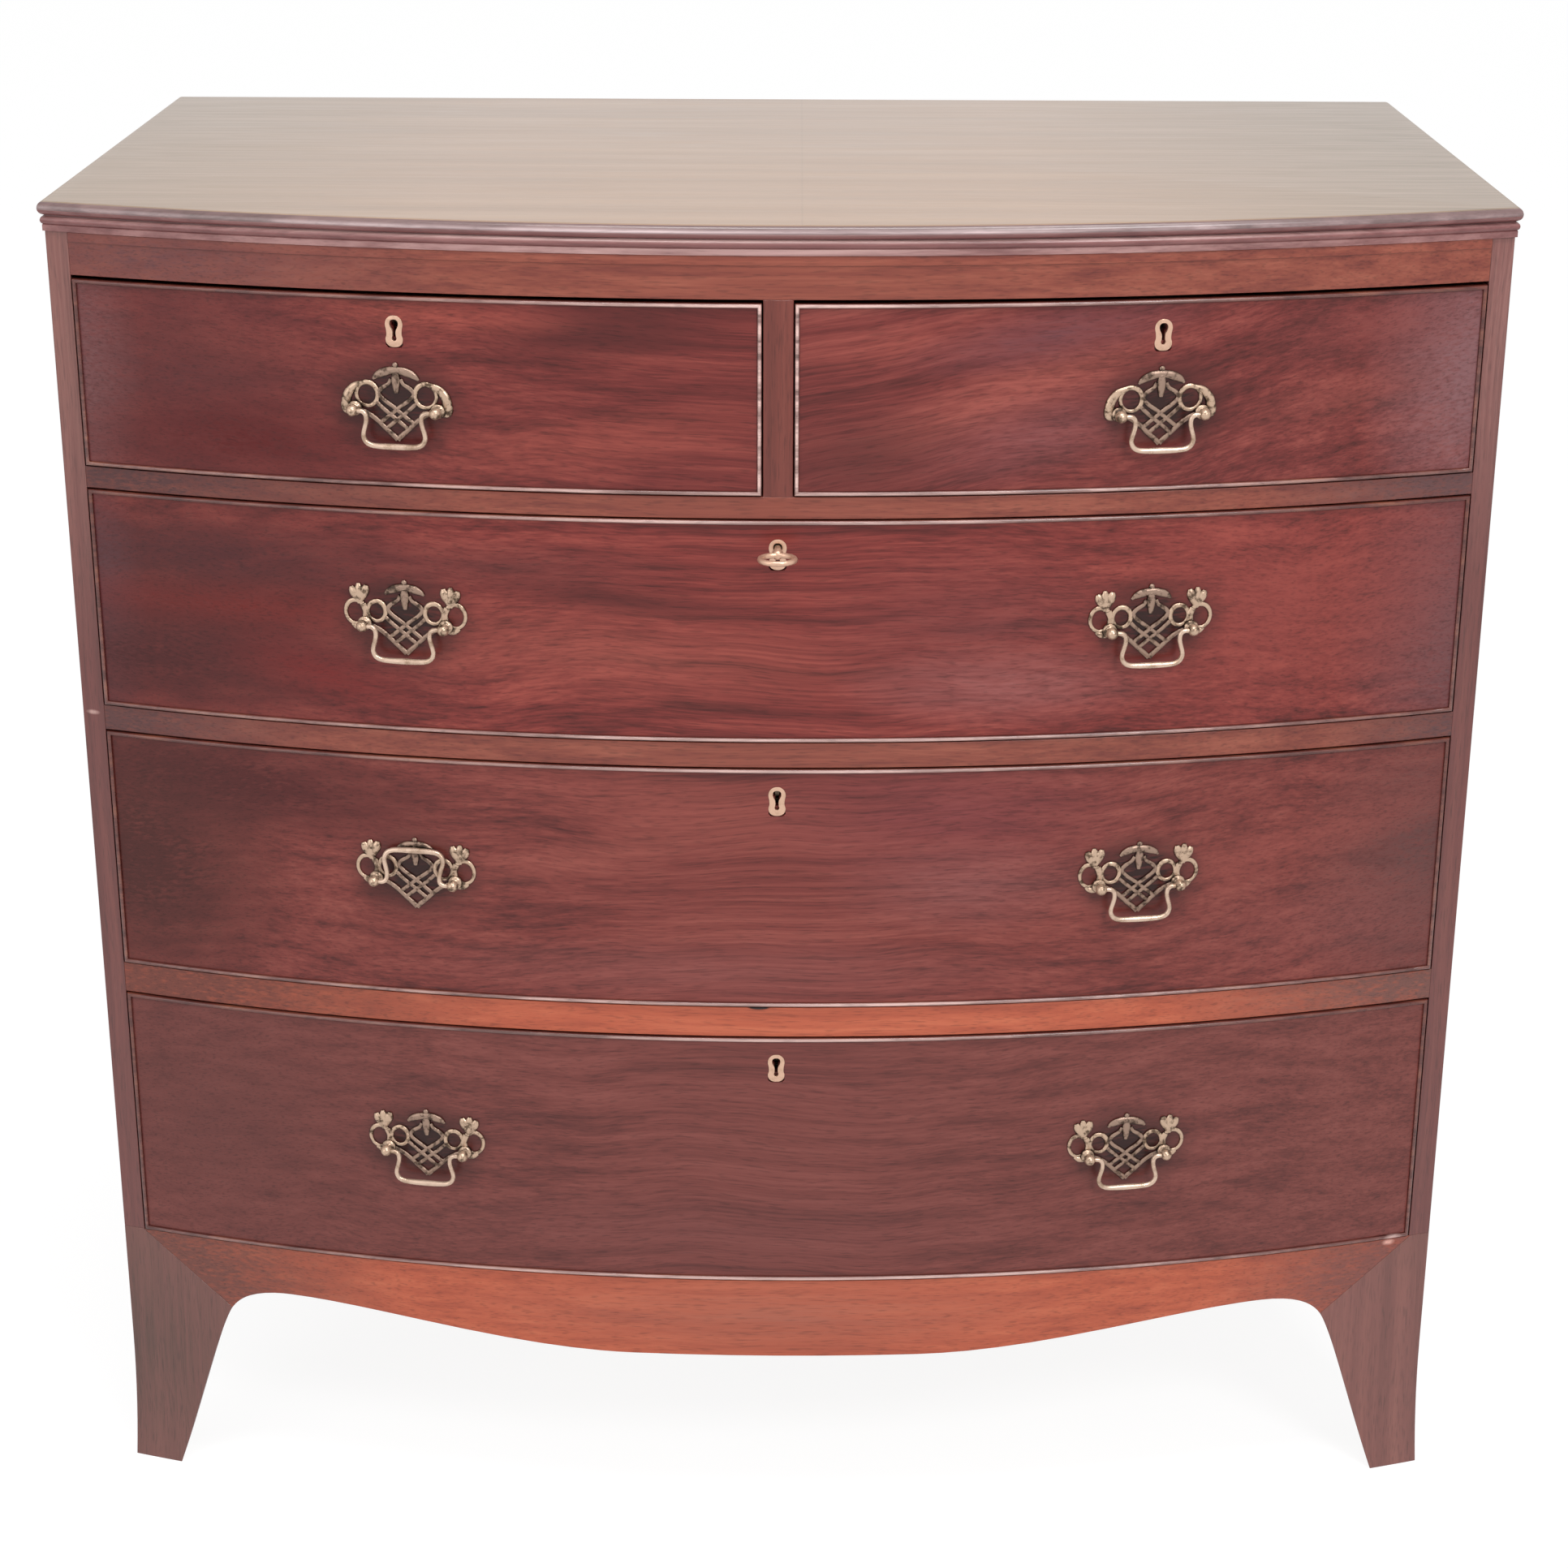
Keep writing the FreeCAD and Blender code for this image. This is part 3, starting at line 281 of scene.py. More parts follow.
# carcass: plainer straight-grained mahogany, redder where the light has reached it less
railWood = polishedWood("straightMahogany", {
    "tones": ("692e26", "803f31", "904e3d"), "streak": (600, 8), "drift": 12,
    "line": (170, 2.0), "spread": 0.26, "patches": [
        (-440, 986, 220, 40, 0, "5e3233", 0.9),
        (-480, 826, 260, 40, 0, "4c2828", 1.1),
        (-500, 637, 170, 40, 0, "553130", 1.2),
        (510, 637, 110, 40, 0, "573636", 1.1),
        (500, 826, 160, 40, 0, "5a3939", 1.2)]})
brightWood = polishedWood("orangeMahogany", {
    "tones": ("94422d", "ac5237", "bb6143"), "streak": (600, 8), "drift": 14,
    "line": (170, 2.2), "spread": 0.28, "shift": (2.0, 0, 0), "patches": [
        (-470, 425, 270, 60, 0, "6b3429", 1.3),
        (-500, 175, 210, 90, 0, "6a3a31", 1.5),
        (490, 175, 150, 80, 0, "77423a", 1.4),
        (520, 430, 230, 50, 0, "6c433c", 1.3),
        (0, 178, 260, 40, 0, "9a5644", 0.8),
        # painted shade: the notch of a chip in the upper edge, drawn as a near-black spot
        (-13, 440, 9, 2.4, 0, "170807", 3.0),        # chipped upper edge
        (485, 206, 6, 3, 0, "dca496", 1.4)]})        # and lower corner
uprightWood = polishedWood("uprightMahogany", {
    "tones": ("522623", "66332f", "764039"), "streak": (600, 12), "drift": 14,
    "line": (170, 2.4), "spread": 0.28, "specular": 0.5, "grain": "z", "patches": [
        # painted reflection: a grey sheen up both stiles
        (-520, 920, 70, 240, 0, "84564e", 0.9),
        (520, 940, 70, 190, 0, "8a5d57", 0.8),
        (-511, 642.5, 6, 2.2, 0, "b08a82", 1.5)]})       # chipped corner
muntinWood = polishedWood("muntinMahogany", {
    "tones": ("582821", "6a322a", "7a3e34"), "streak": (600, 10), "drift": 10,
    "line": (170, 2.2), "spread": 0.28, "grain": "z", "shift": (0.3, 0, 0)})
footWood = polishedWood("shadedMahogany", {
    "tones": ("643832", "76453e", "835047"), "streak": (500, 14), "drift": 20,
    "line": (170, 2.4), "spread": 0.3, "specular": 0.5, "grain": "z", "shift": (0.7, 0, 0), "patches": [
        (-510, 110, 150, 190, 0, "503229", 0.9),
        (520, 215, 80, 60, 0, "6a4038", 0.6)]})
topWood = polishedWood("fadedMahogany", {
    "tones": ("8a6e58", "987a63", "a4866d"), "streak": (900, 30), "drift": 26,
    "line": (170, 4.0), "spread": 0.3, "specular": 0.5, "poreDark": 0.88, "roughness": 0.34, "coat": 0.45,
    "coatRoughness": 0.28, "patches": [
        (16, 1022, 1.2, 60, 0, "6f5440", 0.25),       # seam of two leaves
        (500, 1022, 320, 60, 0, "725d46", 0.9),
        (-540, 1022, 300, 60, 0, "7a6349", 0.8)]})
# greyed copy for the nose: painted sheen as well as rubbing
edgeWood = polishedWood("rubbedAndSheenedEdgeMahogany", {
    "tones": ("5c4543", "6b5150", "7b605d"), "streak": (500, 10), "drift": 8,
    "specular": 0.5, "poreDark": 0.85, "coat": 0.5, "wearAndHighlight": "e4cccd"})
mouldWood = polishedWood("mouldedMahogany", {
    "tones": ("673b3b", "774847", "875856"), "streak": (500, 8), "drift": 8,
    "poreDark": 0.85, "coat": 0.4, "wearAndHighlight": "e8c6c0"})
beadWood = polishedWood("beadMahogany", {
    "tones": ("431d18", "5c2b24", "74402f"), "streak": (300, 8), "drift": 6,
    "roughness": 0.3, "coat": 0.5, "coatRoughness": 0.16, "wearAndHighlight": "e2c0b8", "patches": [
        (-502, 647.5, 7, 4, 0, "d0aca4", 1.4),
        (488, 210, 9, 4, 0, "d0aca4", 1.4)]})         # chipped corners

# drawer linings and back: oak and deal, bare and dry, paler and without gloss
dryOak = {"tones": ("7d5f40", "97754f", "a8875f"), "streak": (300, 14), "drift": 14,
          "roughness": 0.62, "coat": 0.0, "poreDark": 0.6, "relief": 0.2}
oldDeal = {"tones": ("735a40", "866a4c", "957a5b"), "streak": (700, 12), "drift": 16,
           "roughness": 0.7, "coat": 0.0, "poreDark": 0.85, "relief": 0.2}
oakAlong = polishedWood("dryOakAlong", dict(dryOak, grain="y"))
oakAcross = polishedWood("dryOakAcross", dryOak)
dealUpright = polishedWood("oldDealUpright", dict(oldDeal, grain="z"))
dealAcross = polishedWood("oldDealAcross", oldDeal)


# Metals: cast brass keeps dark tarnish where fingers and cloths don't reach, and is worn pinkish-gold
# outside. Tones are tarnish, body and worn. Mottle is the size of its patches and recess how deep a corner
# has to be to stay dark, in millimetres.
castSkin = {"levels": (0.05, 0.55, 1.0), "grit": 0.9, "gritDepth": 0.2, "gritStrength": 0.12}


def castMetal(name, look):
    material, tree = newMaterial(name)
    place = addNode(tree, "ShaderNodeTexCoord").outputs["Object"]
    mottle = addNode(tree, "ShaderNodeTexNoise", {
        "Vector": place, "Scale": 1 / mm(look["mottle"]), "Detail": 4.0, "Roughness": 0.65}).outputs["Fac"]
    grit = addNode(tree, "ShaderNodeTexNoise", {
        "Vector": place, "Scale": 1 / mm(castSkin["grit"]), "Detail": 2.0}).outputs["Fac"]
    openness = addNode(tree, "ShaderNodeAmbientOcclusion", {
        "Distance": mm(look["recess"])}, samples=8).outputs["AO"]
    reach = addNode(tree, "ShaderNodeMapRange", {
        "Value": openness, "From Min": 0.35, "From Max": 0.95})
    wear = addNode(tree, "ShaderNodeMath", {0: mottle, 1: 0.5}, operation="SUBTRACT")
    wear = addNode(tree, "ShaderNodeMath", {
        0: wear, 1: look["patchy"], 2: reach}, operation="MULTIPLY_ADD")
    colour = addNode(tree, "ShaderNodeValToRGB", {"Fac": wear}, stops=[
        (level, linear(shade)) for level, shade in zip(castSkin["levels"], look["tones"])])
    dull, bright = look["rough"]
    gloss = addNode(tree, "ShaderNodeMapRange", {"Value": wear, "To Min": dull, "To Max": bright})
    relief = addNode(tree, "ShaderNodeBump", {
        "Height": grit, "Strength": castSkin["gritStrength"], "Distance": mm(castSkin["gritDepth"])})
    shader = addNode(tree, "ShaderNodeBsdfPrincipled", {
        "Base Color": colour, "Metallic": look["metallic"], "Roughness": gloss, "Normal": relief})
    addNode(tree, "ShaderNodeOutputMaterial", {"Surface": shader})
    return material


agedBrass = castMetal("agedBrass", {
    "tones": ("2a1c14", "5c4837", "bda18a"), "mottle": 5, "patchy": 3.6, "recess": 5,
    "rough": (0.55, 0.28), "metallic": 0.55})
# a darker copy for the crown and lattice behind the bail: painted shade as well as tarnish
shadedBrass = castMetal("tarnishedAndShadedBrass", {
    "tones": ("24160f", "4a372a", "947a6a"), "mottle": 5, "patchy": 3.4, "recess": 6,
    "rough": (0.6, 0.34), "metallic": 0.5})
handledBrass = castMetal("handledBrass", {
    "tones": ("3d2b1e", "8a6f58", "cbb09c"), "mottle": 12, "patchy": 2.0, "recess": 4,
    "rough": (0.45, 0.24), "metallic": 0.6})
cleanBrass = castMetal("rubbedBrass", {
    "tones": ("5d4230", "a5836a", "cfa991"), "mottle": 6, "patchy": 1.2, "recess": 2.5,
    "rough": (0.5, 0.32), "metallic": 0.6})
forgedSteel = castMetal("forgedSteel", {
    "tones": ("2b2622", "6a6763", "a5a29c"), "mottle": 7, "patchy": 1.2, "recess": 4,
    "rough": (0.6, 0.38), "metallic": 1.0})
print("finishes:", len(bpy.data.materials))


def plainMesh(piece):
    # the evaluated shape as an ordinary mesh, with the modifiers gone
    bpy.context.view_layer.update()
    evaluated = piece.evaluated_get(bpy.context.evaluated_depsgraph_get())
    mesh = bpy.data.meshes.new_from_object(evaluated)
    piece.modifiers.clear()
    return mesh


def addObject(name, mesh):
    piece = bpy.data.objects.new(name, mesh)
    bpy.context.scene.collection.objects.link(piece)
    return piece


def smoothPiece(name, work, sharpAngle=None):
    # the finished shape as a smooth-shaded object, with its sharper edges kept
    mesh = bpy.data.meshes.new(name)
    work.to_mesh(mesh)
    work.free()
    mesh.shade_smooth()
    if sharpAngle:
        mesh.set_sharp_from_angle(angle=math.radians(sharpAngle))
    return addObject(name, mesh)


def joinRows(work, rows, closed=True):
    # four-sided faces between neighbouring rows of points
    for near, far in zip(rows, rows[1:]):
        for k in range(len(near) if closed else len(near) - 1):
            after = (k + 1) % len(near)
            work.faces.new((near[k], near[after], far[after], far[k]))


def settle(piece, node, slot, *materials):
    # the finished piece takes the node's place on the node's body
    chosen = [face.material_index for face in piece.data.polygons]
    piece.data.materials.clear()            # this also forgets which face had which finish
    for material in materials:
        piece.data.materials.append(material)
    piece.data.polygons.foreach_set("material_index", chosen)
    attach(piece, bodyOf[node])
    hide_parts(node)
    return piece


# CAD meshes are loose triangles; millimetres, degrees and shares
weld = {"distance": 0.03, "flatAngle": 0.3, "areaChange": 0.1, "facing": -0.999}


def weldedCopy(node):
    # the node's triangles welded, and the flat ones joined again
    work = bmesh.new()
    work.from_mesh(nodes[node].data)
    bmesh.ops.remove_doubles(work, verts=work.verts, dist=mm(weld["distance"]))
    flat = math.radians(weld["flatAngle"])
    bmesh.ops.dissolve_limit(work, angle_limit=flat, verts=work.verts, edges=work.edges)
    # where two boards meet in a mitre, the faces that touch go, so that the corner can be eased
    touching = set()
    for edge in work.edges:
        for face, other in combinations(edge.link_faces, 2):
            alike = abs(face.calc_area() - other.calc_area()) < weld["areaChange"] * face.calc_area()
            if alike and face.normal.dot(other.normal) < weld["facing"]:
                touching |= {face, other}
    bmesh.ops.delete(work, geom=list(touching), context="FACES")
    return work


def easedPiece(name, work, width, segments=2):
    # hand-eased edges, of the given width in millimetres
    sharpAngle = 32
    piece = smoothPiece(name, work, sharpAngle)
    eased = piece.modifiers.new("easedEdges", "BEVEL")
    eased.width = mm(width)
    eased.segments = segments
    eased.limit_method = "ANGLE"
    eased.angle_limit = math.radians(sharpAngle)
    even = piece.modifiers.new("evenShading", "WEIGHTED_NORMAL")
    even.keep_sharp = True
    piece.data = plainMesh(piece)
    return piece


# boards: the CAD shapes with their edges eased; millimetres
boards = {
    "easing": 0.45, "frontEasing": 0.2, "liningEasing": 0.9, "liningThickness": 10.5,
    "finish": [
        ("mahogany_red", uprightWood, ("side_right", "side_left")),
        ("mahogany_red", railWood, ("frieze_rail", "rail_upper", "rail_middle")),
        ("mahogany_red", brightWood, ("rail_lower",)),
        ("mahogany_red", muntinWood, ("muntin",)),
        ("mahogany_red", brightWood, ("apron",)),
        ("mahogany_dark", footWood, ("foot_front_right", "foot_front_left", "foot_back_right",
                                     "foot_back_left")),
        ("pine", dealUpright, ("back_boards",)),
        ("pine", dealAcross, ("dust_boards", "bottom_board")),
        ("pine", dealUpright, ("glue_blocks",)),
        ("oak", oakAlong, ("drawer_runners", "drawer_guide")),
        ("oak", oakAcross, ("drawer_stops",)),
    ],
}


def makeDrawer(name):
    front = "drawer_" + name + "_front"
    piece = easedPiece(front + "_eased", weldedCopy(front), boards["frontEasing"], 1)
    settle(piece, front, "mahogany_figured", frontWood[name])
    lining = "drawer_" + name + "_box"
    piece = easedPiece(lining + "_eased", weldedCopy(lining), boards["liningEasing"])
    settle(piece, lining, "oak", oakAlong, oakAcross)
    low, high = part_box(lining)
    backStart = high.y - mm(boards["liningThickness"])
    middleX = (low.x + high.x) / 2
    halfInside = high.x - mm(boards["liningThickness"]) - middleX
    for face in piece.data.polygons:        # the grain of the back and bottom runs across the drawer
        across = face.center.y > backStart or abs(face.center.x - middleX) < halfInside
        face.material_index = 1 if across else 0


for slot, wood, members in boards["finish"]:
    for node in members:
        settle(easedPiece(node + "_eased", weldedCopy(node), boards["easing"]), node, slot, wood)
for name in drawerNames:
    makeDrawer(name)
print("boards and drawers:", sum(len(row[2]) for row in boards["finish"]) + 2 * len(drawerNames))


# top board: rounded nose over a quirk, second round and fillet, run along both sides and the bowed front.
# Millimetres and degrees; a crest is where a round is paler, rubbed and with painted highlight: (direction,
# spread, share)
topEdge = {
    "overhang": 4.0, "noseRadius": 5.0, "noseSteps": 12, "noseSweep": 175, "noseCrest": (3, 14, 0.9),
    "quirkReach": -0.4, "roundDrop": 13.5, "roundReach": 2.6, "roundRise": 3.0, "roundSteps": 8,
    "roundSweep": 155, "roundCrest": (62, 32, 1.0), "filletReach": 1.4, "filletGap": 0.2, "filletWearAndHighlight": 0.4,
    "thickness": 21.0, "wearAndHighlightReach": 340.0, "wearAndHighlightEnds": 0.1, "arcSteps": 72, "finishMargin": 0.6,
    "sharpAngle": 38,
}


def roundPoints(part, centre, radii):
    # a round from straight up, outwards and down, with how much rubbing and painted highlight it takes
    aim, spread, share = topEdge[part + "Crest"]
    points = []
    for step in range(topEdge[part + "Steps"] + 1):
        turn = math.radians(90 - topEdge[part + "Sweep"] * step / topEdge[part + "Steps"])
        crest = math.exp(-((math.degrees(turn) - aim) / spread) ** 2)
        across = centre[0] + radii[0] * math.cos(turn)
        points.append((across, centre[1] + radii[1] * math.sin(turn), share * crest))
    return points


def topProfile():
    nose, quirk = topEdge["noseRadius"], topEdge["quirkReach"]
    points = roundPoints("nose", (topEdge["overhang"] - nose, -nose), (nose, nose))
    points += roundPoints("round", (quirk, -topEdge["roundDrop"]), (
        topEdge["roundReach"] - quirk, topEdge["roundRise"]))
    for drop in (topEdge["roundDrop"] + topEdge["roundRise"] + topEdge["filletGap"], topEdge["thickness"]):
        points.append((topEdge["filletReach"], -drop, topEdge["filletWearAndHighlight"]))
    return [(mm(reach), bow["topZ"] + mm(drop), rubbed) for reach, drop, rubbed in points]


def makeTop():
    work = bmesh.new()
    wearAndHighlight = work.verts.layers.float.new("wearAndHighlight")
    rows = []
    for reach, z, rubbed in topProfile():
        half = bow["bodyHalf"] + reach
        plan = [(half, bow["backY"])]
        for step in range(topEdge["arcSteps"] + 1):
            x = half * (1 - 2 * step / topEdge["arcSteps"])
            plan.append((x, bowY(x, reach)))
        plan.append((-half, bow["backY"]))
        rows.append([work.verts.new((x, y, z)) for x, y in plan])
        for vert in rows[-1]:
            # rubbing and painted highlight fade away from the middle, as the bow turns away
            near = math.exp(-(vert.co.x / mm(topEdge["wearAndHighlightReach"])) ** 2)
            vert[wearAndHighlight] = rubbed * (topEdge["wearAndHighlightEnds"] + (1 - topEdge["wearAndHighlightEnds"]) * near)
    joinRows(work, rows, closed=False)
    work.faces.new(rows[0])
    work.faces.new(list(reversed(rows[-1])))
    work.faces.new([row[-1] for row in rows] + [row[0] for row in reversed(rows)])
    bmesh.ops.recalc_face_normals(work, faces=work.faces)
    piece = smoothPiece("top_moulded", work, topEdge["sharpAngle"])
    settle(piece, "top_board", "mahogany_red", topWood, edgeWood, mouldWood)
    surface = mm(topEdge["finishMargin"])
    noseEnd = mm(topEdge["noseRadius"] + topEdge["finishMargin"])
    for face in piece.data.polygons:        # faded on top, a greyer copy on the nose with painted sheen and rubbing, redder below it
        drop = bow["topZ"] - face.center.z
        face.material_index = 0 if drop < surface else 1 if drop < noseEnd else 2


makeTop()
print("top: moulded edge of", len(topProfile()), "rows")


def newTree(name, inputs):
    # a geometry tree with named inputs: (label, kind, value)
    tree = bpy.data.node_groups.new(name, "GeometryNodeTree")
    for label, kind, value in inputs:
        socket = tree.interface.new_socket(label, in_out="INPUT", socket_type="NodeSocket" + kind)
        if value is not None:
            socket.default_value = value
    tree.interface.new_socket("Piece", in_out="OUTPUT", socket_type="NodeSocketGeometry")
    return tree, addNode(tree, "NodeGroupInput").outputs


# Brass straps, leaves and bails all follow a path: one tree sweeps a flattened round along it
def buildSweep():
    tree, entry = newTree("sweptBrass", (
        ("Path", "Geometry", None), ("Width", "Float", mm(2.8)), ("Height", "Float", mm(2.0)),
        ("Sides", "Int", 10), ("Smoothing", "Int", 5), ("Finish", "Material", None)))
    path = addNode(tree, "GeometryNodeMeshToCurve", {"Mesh": entry["Path"]})
    path = addNode(tree, "GeometryNodeCurveSplineType", {"Curve": path}, spline_type="CATMULL_ROM")
    path = addNode(tree, "GeometryNodeSetSplineResolution", {
        "Geometry": path, "Resolution": entry["Smoothing"]})
    path = addNode(tree, "GeometryNodeSetCurveNormal", {"Curve": path}, mode="Z_UP")
    ring = addNode(tree, "GeometryNodeCurvePrimitiveCircle", {
        "Resolution": entry["Sides"], "Radius": 0.5})
    oval = addNode(tree, "ShaderNodeCombineXYZ", {
        "X": entry["Width"], "Y": entry["Height"], "Z": 1.0})
    ring = addNode(tree, "GeometryNodeTransform", {"Geometry": ring, "Scale": oval})
    swell = addNode(tree, "GeometryNodeInputNamedAttribute", {"Name": "swell"}, data_type="FLOAT")
    skin = addNode(tree, "GeometryNodeCurveToMesh", {
        "Curve": path, "Profile Curve": ring, "Scale": swell, "Fill Caps": True})
    skin = addNode(tree, "GeometryNodeRealizeInstances", {"Geometry": skin})
    skin = addNode(tree, "GeometryNodeSetShadeSmooth", {"Geometry": skin, "Shade Smooth": True})
    skin = addNode(tree, "GeometryNodeSetMaterial", {
        "Geometry": skin, "Material": entry["Finish"]})
    addNode(tree, "NodeGroupOutput", {"Piece": skin})
    return tree


sweepTree = buildSweep()


def runTree(name, tree, source, **inputs):
    piece = addObject(name, source)
    modifier = piece.modifiers.new(tree.name, "NODES")
    modifier.node_group = tree
    for item in tree.interface.items_tree:
        if item.in_out == "INPUT" and item.name in inputs:
            modifier[item.identifier] = inputs[item.name]
    mesh = plainMesh(piece)
    bpy.data.objects.remove(piece)
    return mesh


def pathMesh(name, paths):
    # paths: (points, swells, closed); swell scales the section at each point
    mesh = bpy.data.meshes.new(name)
    verts, edges, swells = [], [], []
    for points, swell, closed in paths:
        first = len(verts)
        verts += [Vector(p) for p in points]
        swells += swell
        edges += [(first + i, first + i + 1) for i in range(len(points) - 1)]
        if closed:
            edges.append((len(verts) - 1, first))
    mesh.from_pydata(verts, edges, [])
    layer = mesh.attributes.new("swell", "FLOAT", "POINT")
    layer.data.foreach_set("value", swells)
    return mesh


# pulls: pierced rococo backplates with swan-neck bails, in millimetres. Points are (across, up, swell) from
# the middle of the post line, for the right half; swell is the width there over the strap's own width
pull = {
    "strapWidth": 3.5, "strapHeight": 2.0, "strapSides": 10, "strapSmoothing": 4, "lift": 0.65,
    "postReach": 9.5, "postSpacing": 30.0, "ringSteps": 14, "ringSwell": (0.9, 0.16, 0.6), "bailWidth": 3.7,
    "bailSides": 14, "bailSmoothing": 6, "raised": 192.0,
    "ball": [(0.0, 14.0), (1.7, 13.6), (3.2, 12.4), (4.2, 10.4), (4.25, 8.6), (3.5, 6.6), (2.7, 5.2),
             (2.6, 4.4), (3.6, 3.8), (4.9, 3.2), (5.2, 2.5), (5.0, 1.9), (5.0, 0.2)],
    "bail": [(31.8, 0.0, 0.8), (27.0, 0.0, 0.85), (22.8, -0.3, 0.95), (20.4, -2.4, 0.95), (19.9, -6.4, 0.92),
             (20.8, -10.8, 0.92), (22.0, -15.0, 0.92), (22.2, -18.6, 0.95), (20.4, -22.2, 1.0),
             (16.6, -24.2, 1.05), (11.0, -24.8, 1.12), (5.5, -24.9, 1.2), (0.0, -24.9, 1.25)],
}
latticeStraps = [
    [(3.4, 21.5, 0.9), (5.4, 18.0, 0.85), (10.5, 14.6, 0.95), (12.8, 11.0, 1.0), (9.2, 6.6, 0.9),
     (2.0, 1.4, 0.9), (-5.4, -4.6, 0.9), (-11.6, -9.6, 0.9)],
    [(14.6, 5.0, 0.95), (8.6, -0.6, 0.9), (1.0, -6.6, 0.9), (-7.2, -13.4, 0.9)],
    [(26.5, -1.5, 1.1), (21.0, -3.6, 1.0), (14.6, -8.0, 1.0), (7.6, -14.6, 1.0), (2.6, -19.0, 1.1),
     (0.0, -21.6, 1.2)],
]
crownStem = [
    [(0.0, 11.5, 0.8), (0.0, 16.0, 1.5), (0.0, 21.0, 1.9), (0.0, 26.0, 1.5)],
    [(0.0, 26.5, 1.7), (0.0, 29.4, 0.7), (0.0, 30.8, 1.15), (0.0, 32.2, 1.1), (0.0, 33.2, 0.5)],
]


def bothHalves(right):
    # right: from the middle outwards
    return [(-u, w, swell) for u, w, swell in reversed(right)] + right


pullForms = {
    "wide": {
        "rings": [(36.9, 8.0, 7.4, 8.8), (21.2, 9.2, 6.6, 7.4)],
        "straps": latticeStraps,
        "leaves": [
            [(30.2, -1.0, 1.5), (29.4, 4.0, 1.5), (29.0, 9.0, 1.5), (31.2, 14.0, 1.4)],
            [(33.4, 14.5, 0.9), (32.2, 18.4, 1.5), (30.6, 22.0, 2.0), (29.2, 25.4, 1.9), (28.4, 28.2, 0.9)],
            [(33.6, 14.5, 0.9), (35.0, 18.4, 1.5), (36.8, 21.6, 2.0), (38.4, 24.4, 1.8), (39.4, 26.8, 0.9)],
            [(33.5, 15.6, 1.2), (33.6, 19.6, 1.9), (33.8, 23.6, 2.0), (34.0, 27.0, 1.5), (34.2, 29.4, 0.7)],
            [(40.0, -1.4, 0.5), (36.4, -3.2, 1.3), (32.6, -3.4, 1.4), (28.0, -2.6, 0.6)]],
        "middle": crownStem + [bothHalves([
            (2.4, 27.6, 1.6), (7.0, 26.6, 1.7), (11.5, 24.8, 1.3), (14.4, 22.4, 0.5)])]},
    "narrow": {
        "rings": [(21.2, 10.2, 7.8, 8.4)],
        "straps": latticeStraps,
        "leaves": [
            [(24.0, 18.0, 1.0), (30.4, 15.4, 1.5), (35.0, 10.0, 1.9), (36.4, 4.0, 2.0), (34.4, -0.6, 1.6),
             (30.0, -1.0, 1.2)],
            [(36.2, 6.0, 0.8), (37.6, 3.0, 1.6), (36.4, -1.4, 1.8), (33.4, -3.6, 0.6)]],
        "middle": crownStem + [bothHalves([
            (2.6, 27.6, 1.6), (8.0, 26.4, 1.8), (13.2, 24.0, 1.4), (16.4, 21.0, 0.5)])]},
}


def handleFrame(bailName):
    # right, up and outwards at one handle, with the origin on the drawer face
    joint = jointOf[bailName + "_hinge"]
    right = -Vector(joint["axis"]).normalized()
    out = right.cross(Vector((0, 0, 1)))
    face = Vector(joint["pos_m"]) - out * mm(pull["postReach"])
    turn = Matrix((right, Vector((0, 0, 1)), out)).transposed().to_4x4()
    return Matrix.Translation(face) @ turn


def onFace(across, up, lift):
    # the plates are bent to the bow
    return (mm(across), mm(up), mm(lift) - mm(across) ** 2 / (2 * bow["radius"]))


def strapPath(strap, side=1):
    points = [onFace(side * u, w, pull["lift"]) for u, w, _ in strap]
    return points, [swell for _, _, swell in strap], False


def ringPath(ring, side):
    cx, cz, rx, rz = ring
    turns = [math.tau * step / pull["ringSteps"] for step in range(pull["ringSteps"])]
    points = [onFace(side * (cx + rx * math.cos(t)), cz + rz * math.sin(t), pull["lift"]) for t in turns]
    middle, change, start = pull["ringSwell"]
    return points, [middle + change * math.sin(t - start) for t in turns], True


def platePaths(form):
    # the rim takes the lighter brass; the crown and the lattice behind the bail take a darker copy, painted shade
    # as well as tarnish
    rim = []
    lattice = [strapPath(strap) for strap in form["middle"]]
    for side in (1, -1):
        rim += [ringPath(ring, side) for ring in form["rings"]]
        rim += [strapPath(leaf, side) for leaf in form["leaves"]]
        lattice += [strapPath(strap, side) for strap in form["straps"]]
    return ((rim, agedBrass), (lattice, shadedBrass))


def roundPath(across, up, steps):
    turns = [math.tau * step / steps for step in range(steps)]
    return [Vector((across * math.cos(turn), up * math.sin(turn), 0)) for turn in turns]


def lathe(work, matrix, profile, steps=20):
    # profile: (radius, height) in millimetres, turned about the frame's own outward axis
    tip = 0.02                              # least radius, so that no ring shrinks to a point
    rings = []
    for radius, height in profile:
        reach = mm(max(radius, tip))
        lifted = matrix @ Matrix.Translation((0, 0, mm(height)))
        rings.append([work.verts.new(lifted @ point) for point in roundPath(reach, reach, steps)])
    joinRows(work, rings)
    work.faces.new(rings[0])
    work.faces.new(list(reversed(rings[-1])))


def addBlock(work, place, low, high):
    # a box between two corners in the frame of one handle or lock, in millimetres
    low, high = Vector(low) / 1000, Vector(high) / 1000
    middle = place @ Matrix.Translation((low + high) / 2)
    scaled = middle @ Matrix.Diagonal((*(high - low), 1.0))
    return bmesh.ops.create_cube(work, size=1.0, matrix=scaled)["verts"]


def handlesOf(name):
    if name.startswith("upper"):
        return ["bail_" + name]
    return ["bail_" + name + "_left", "bail_" + name + "_right"]


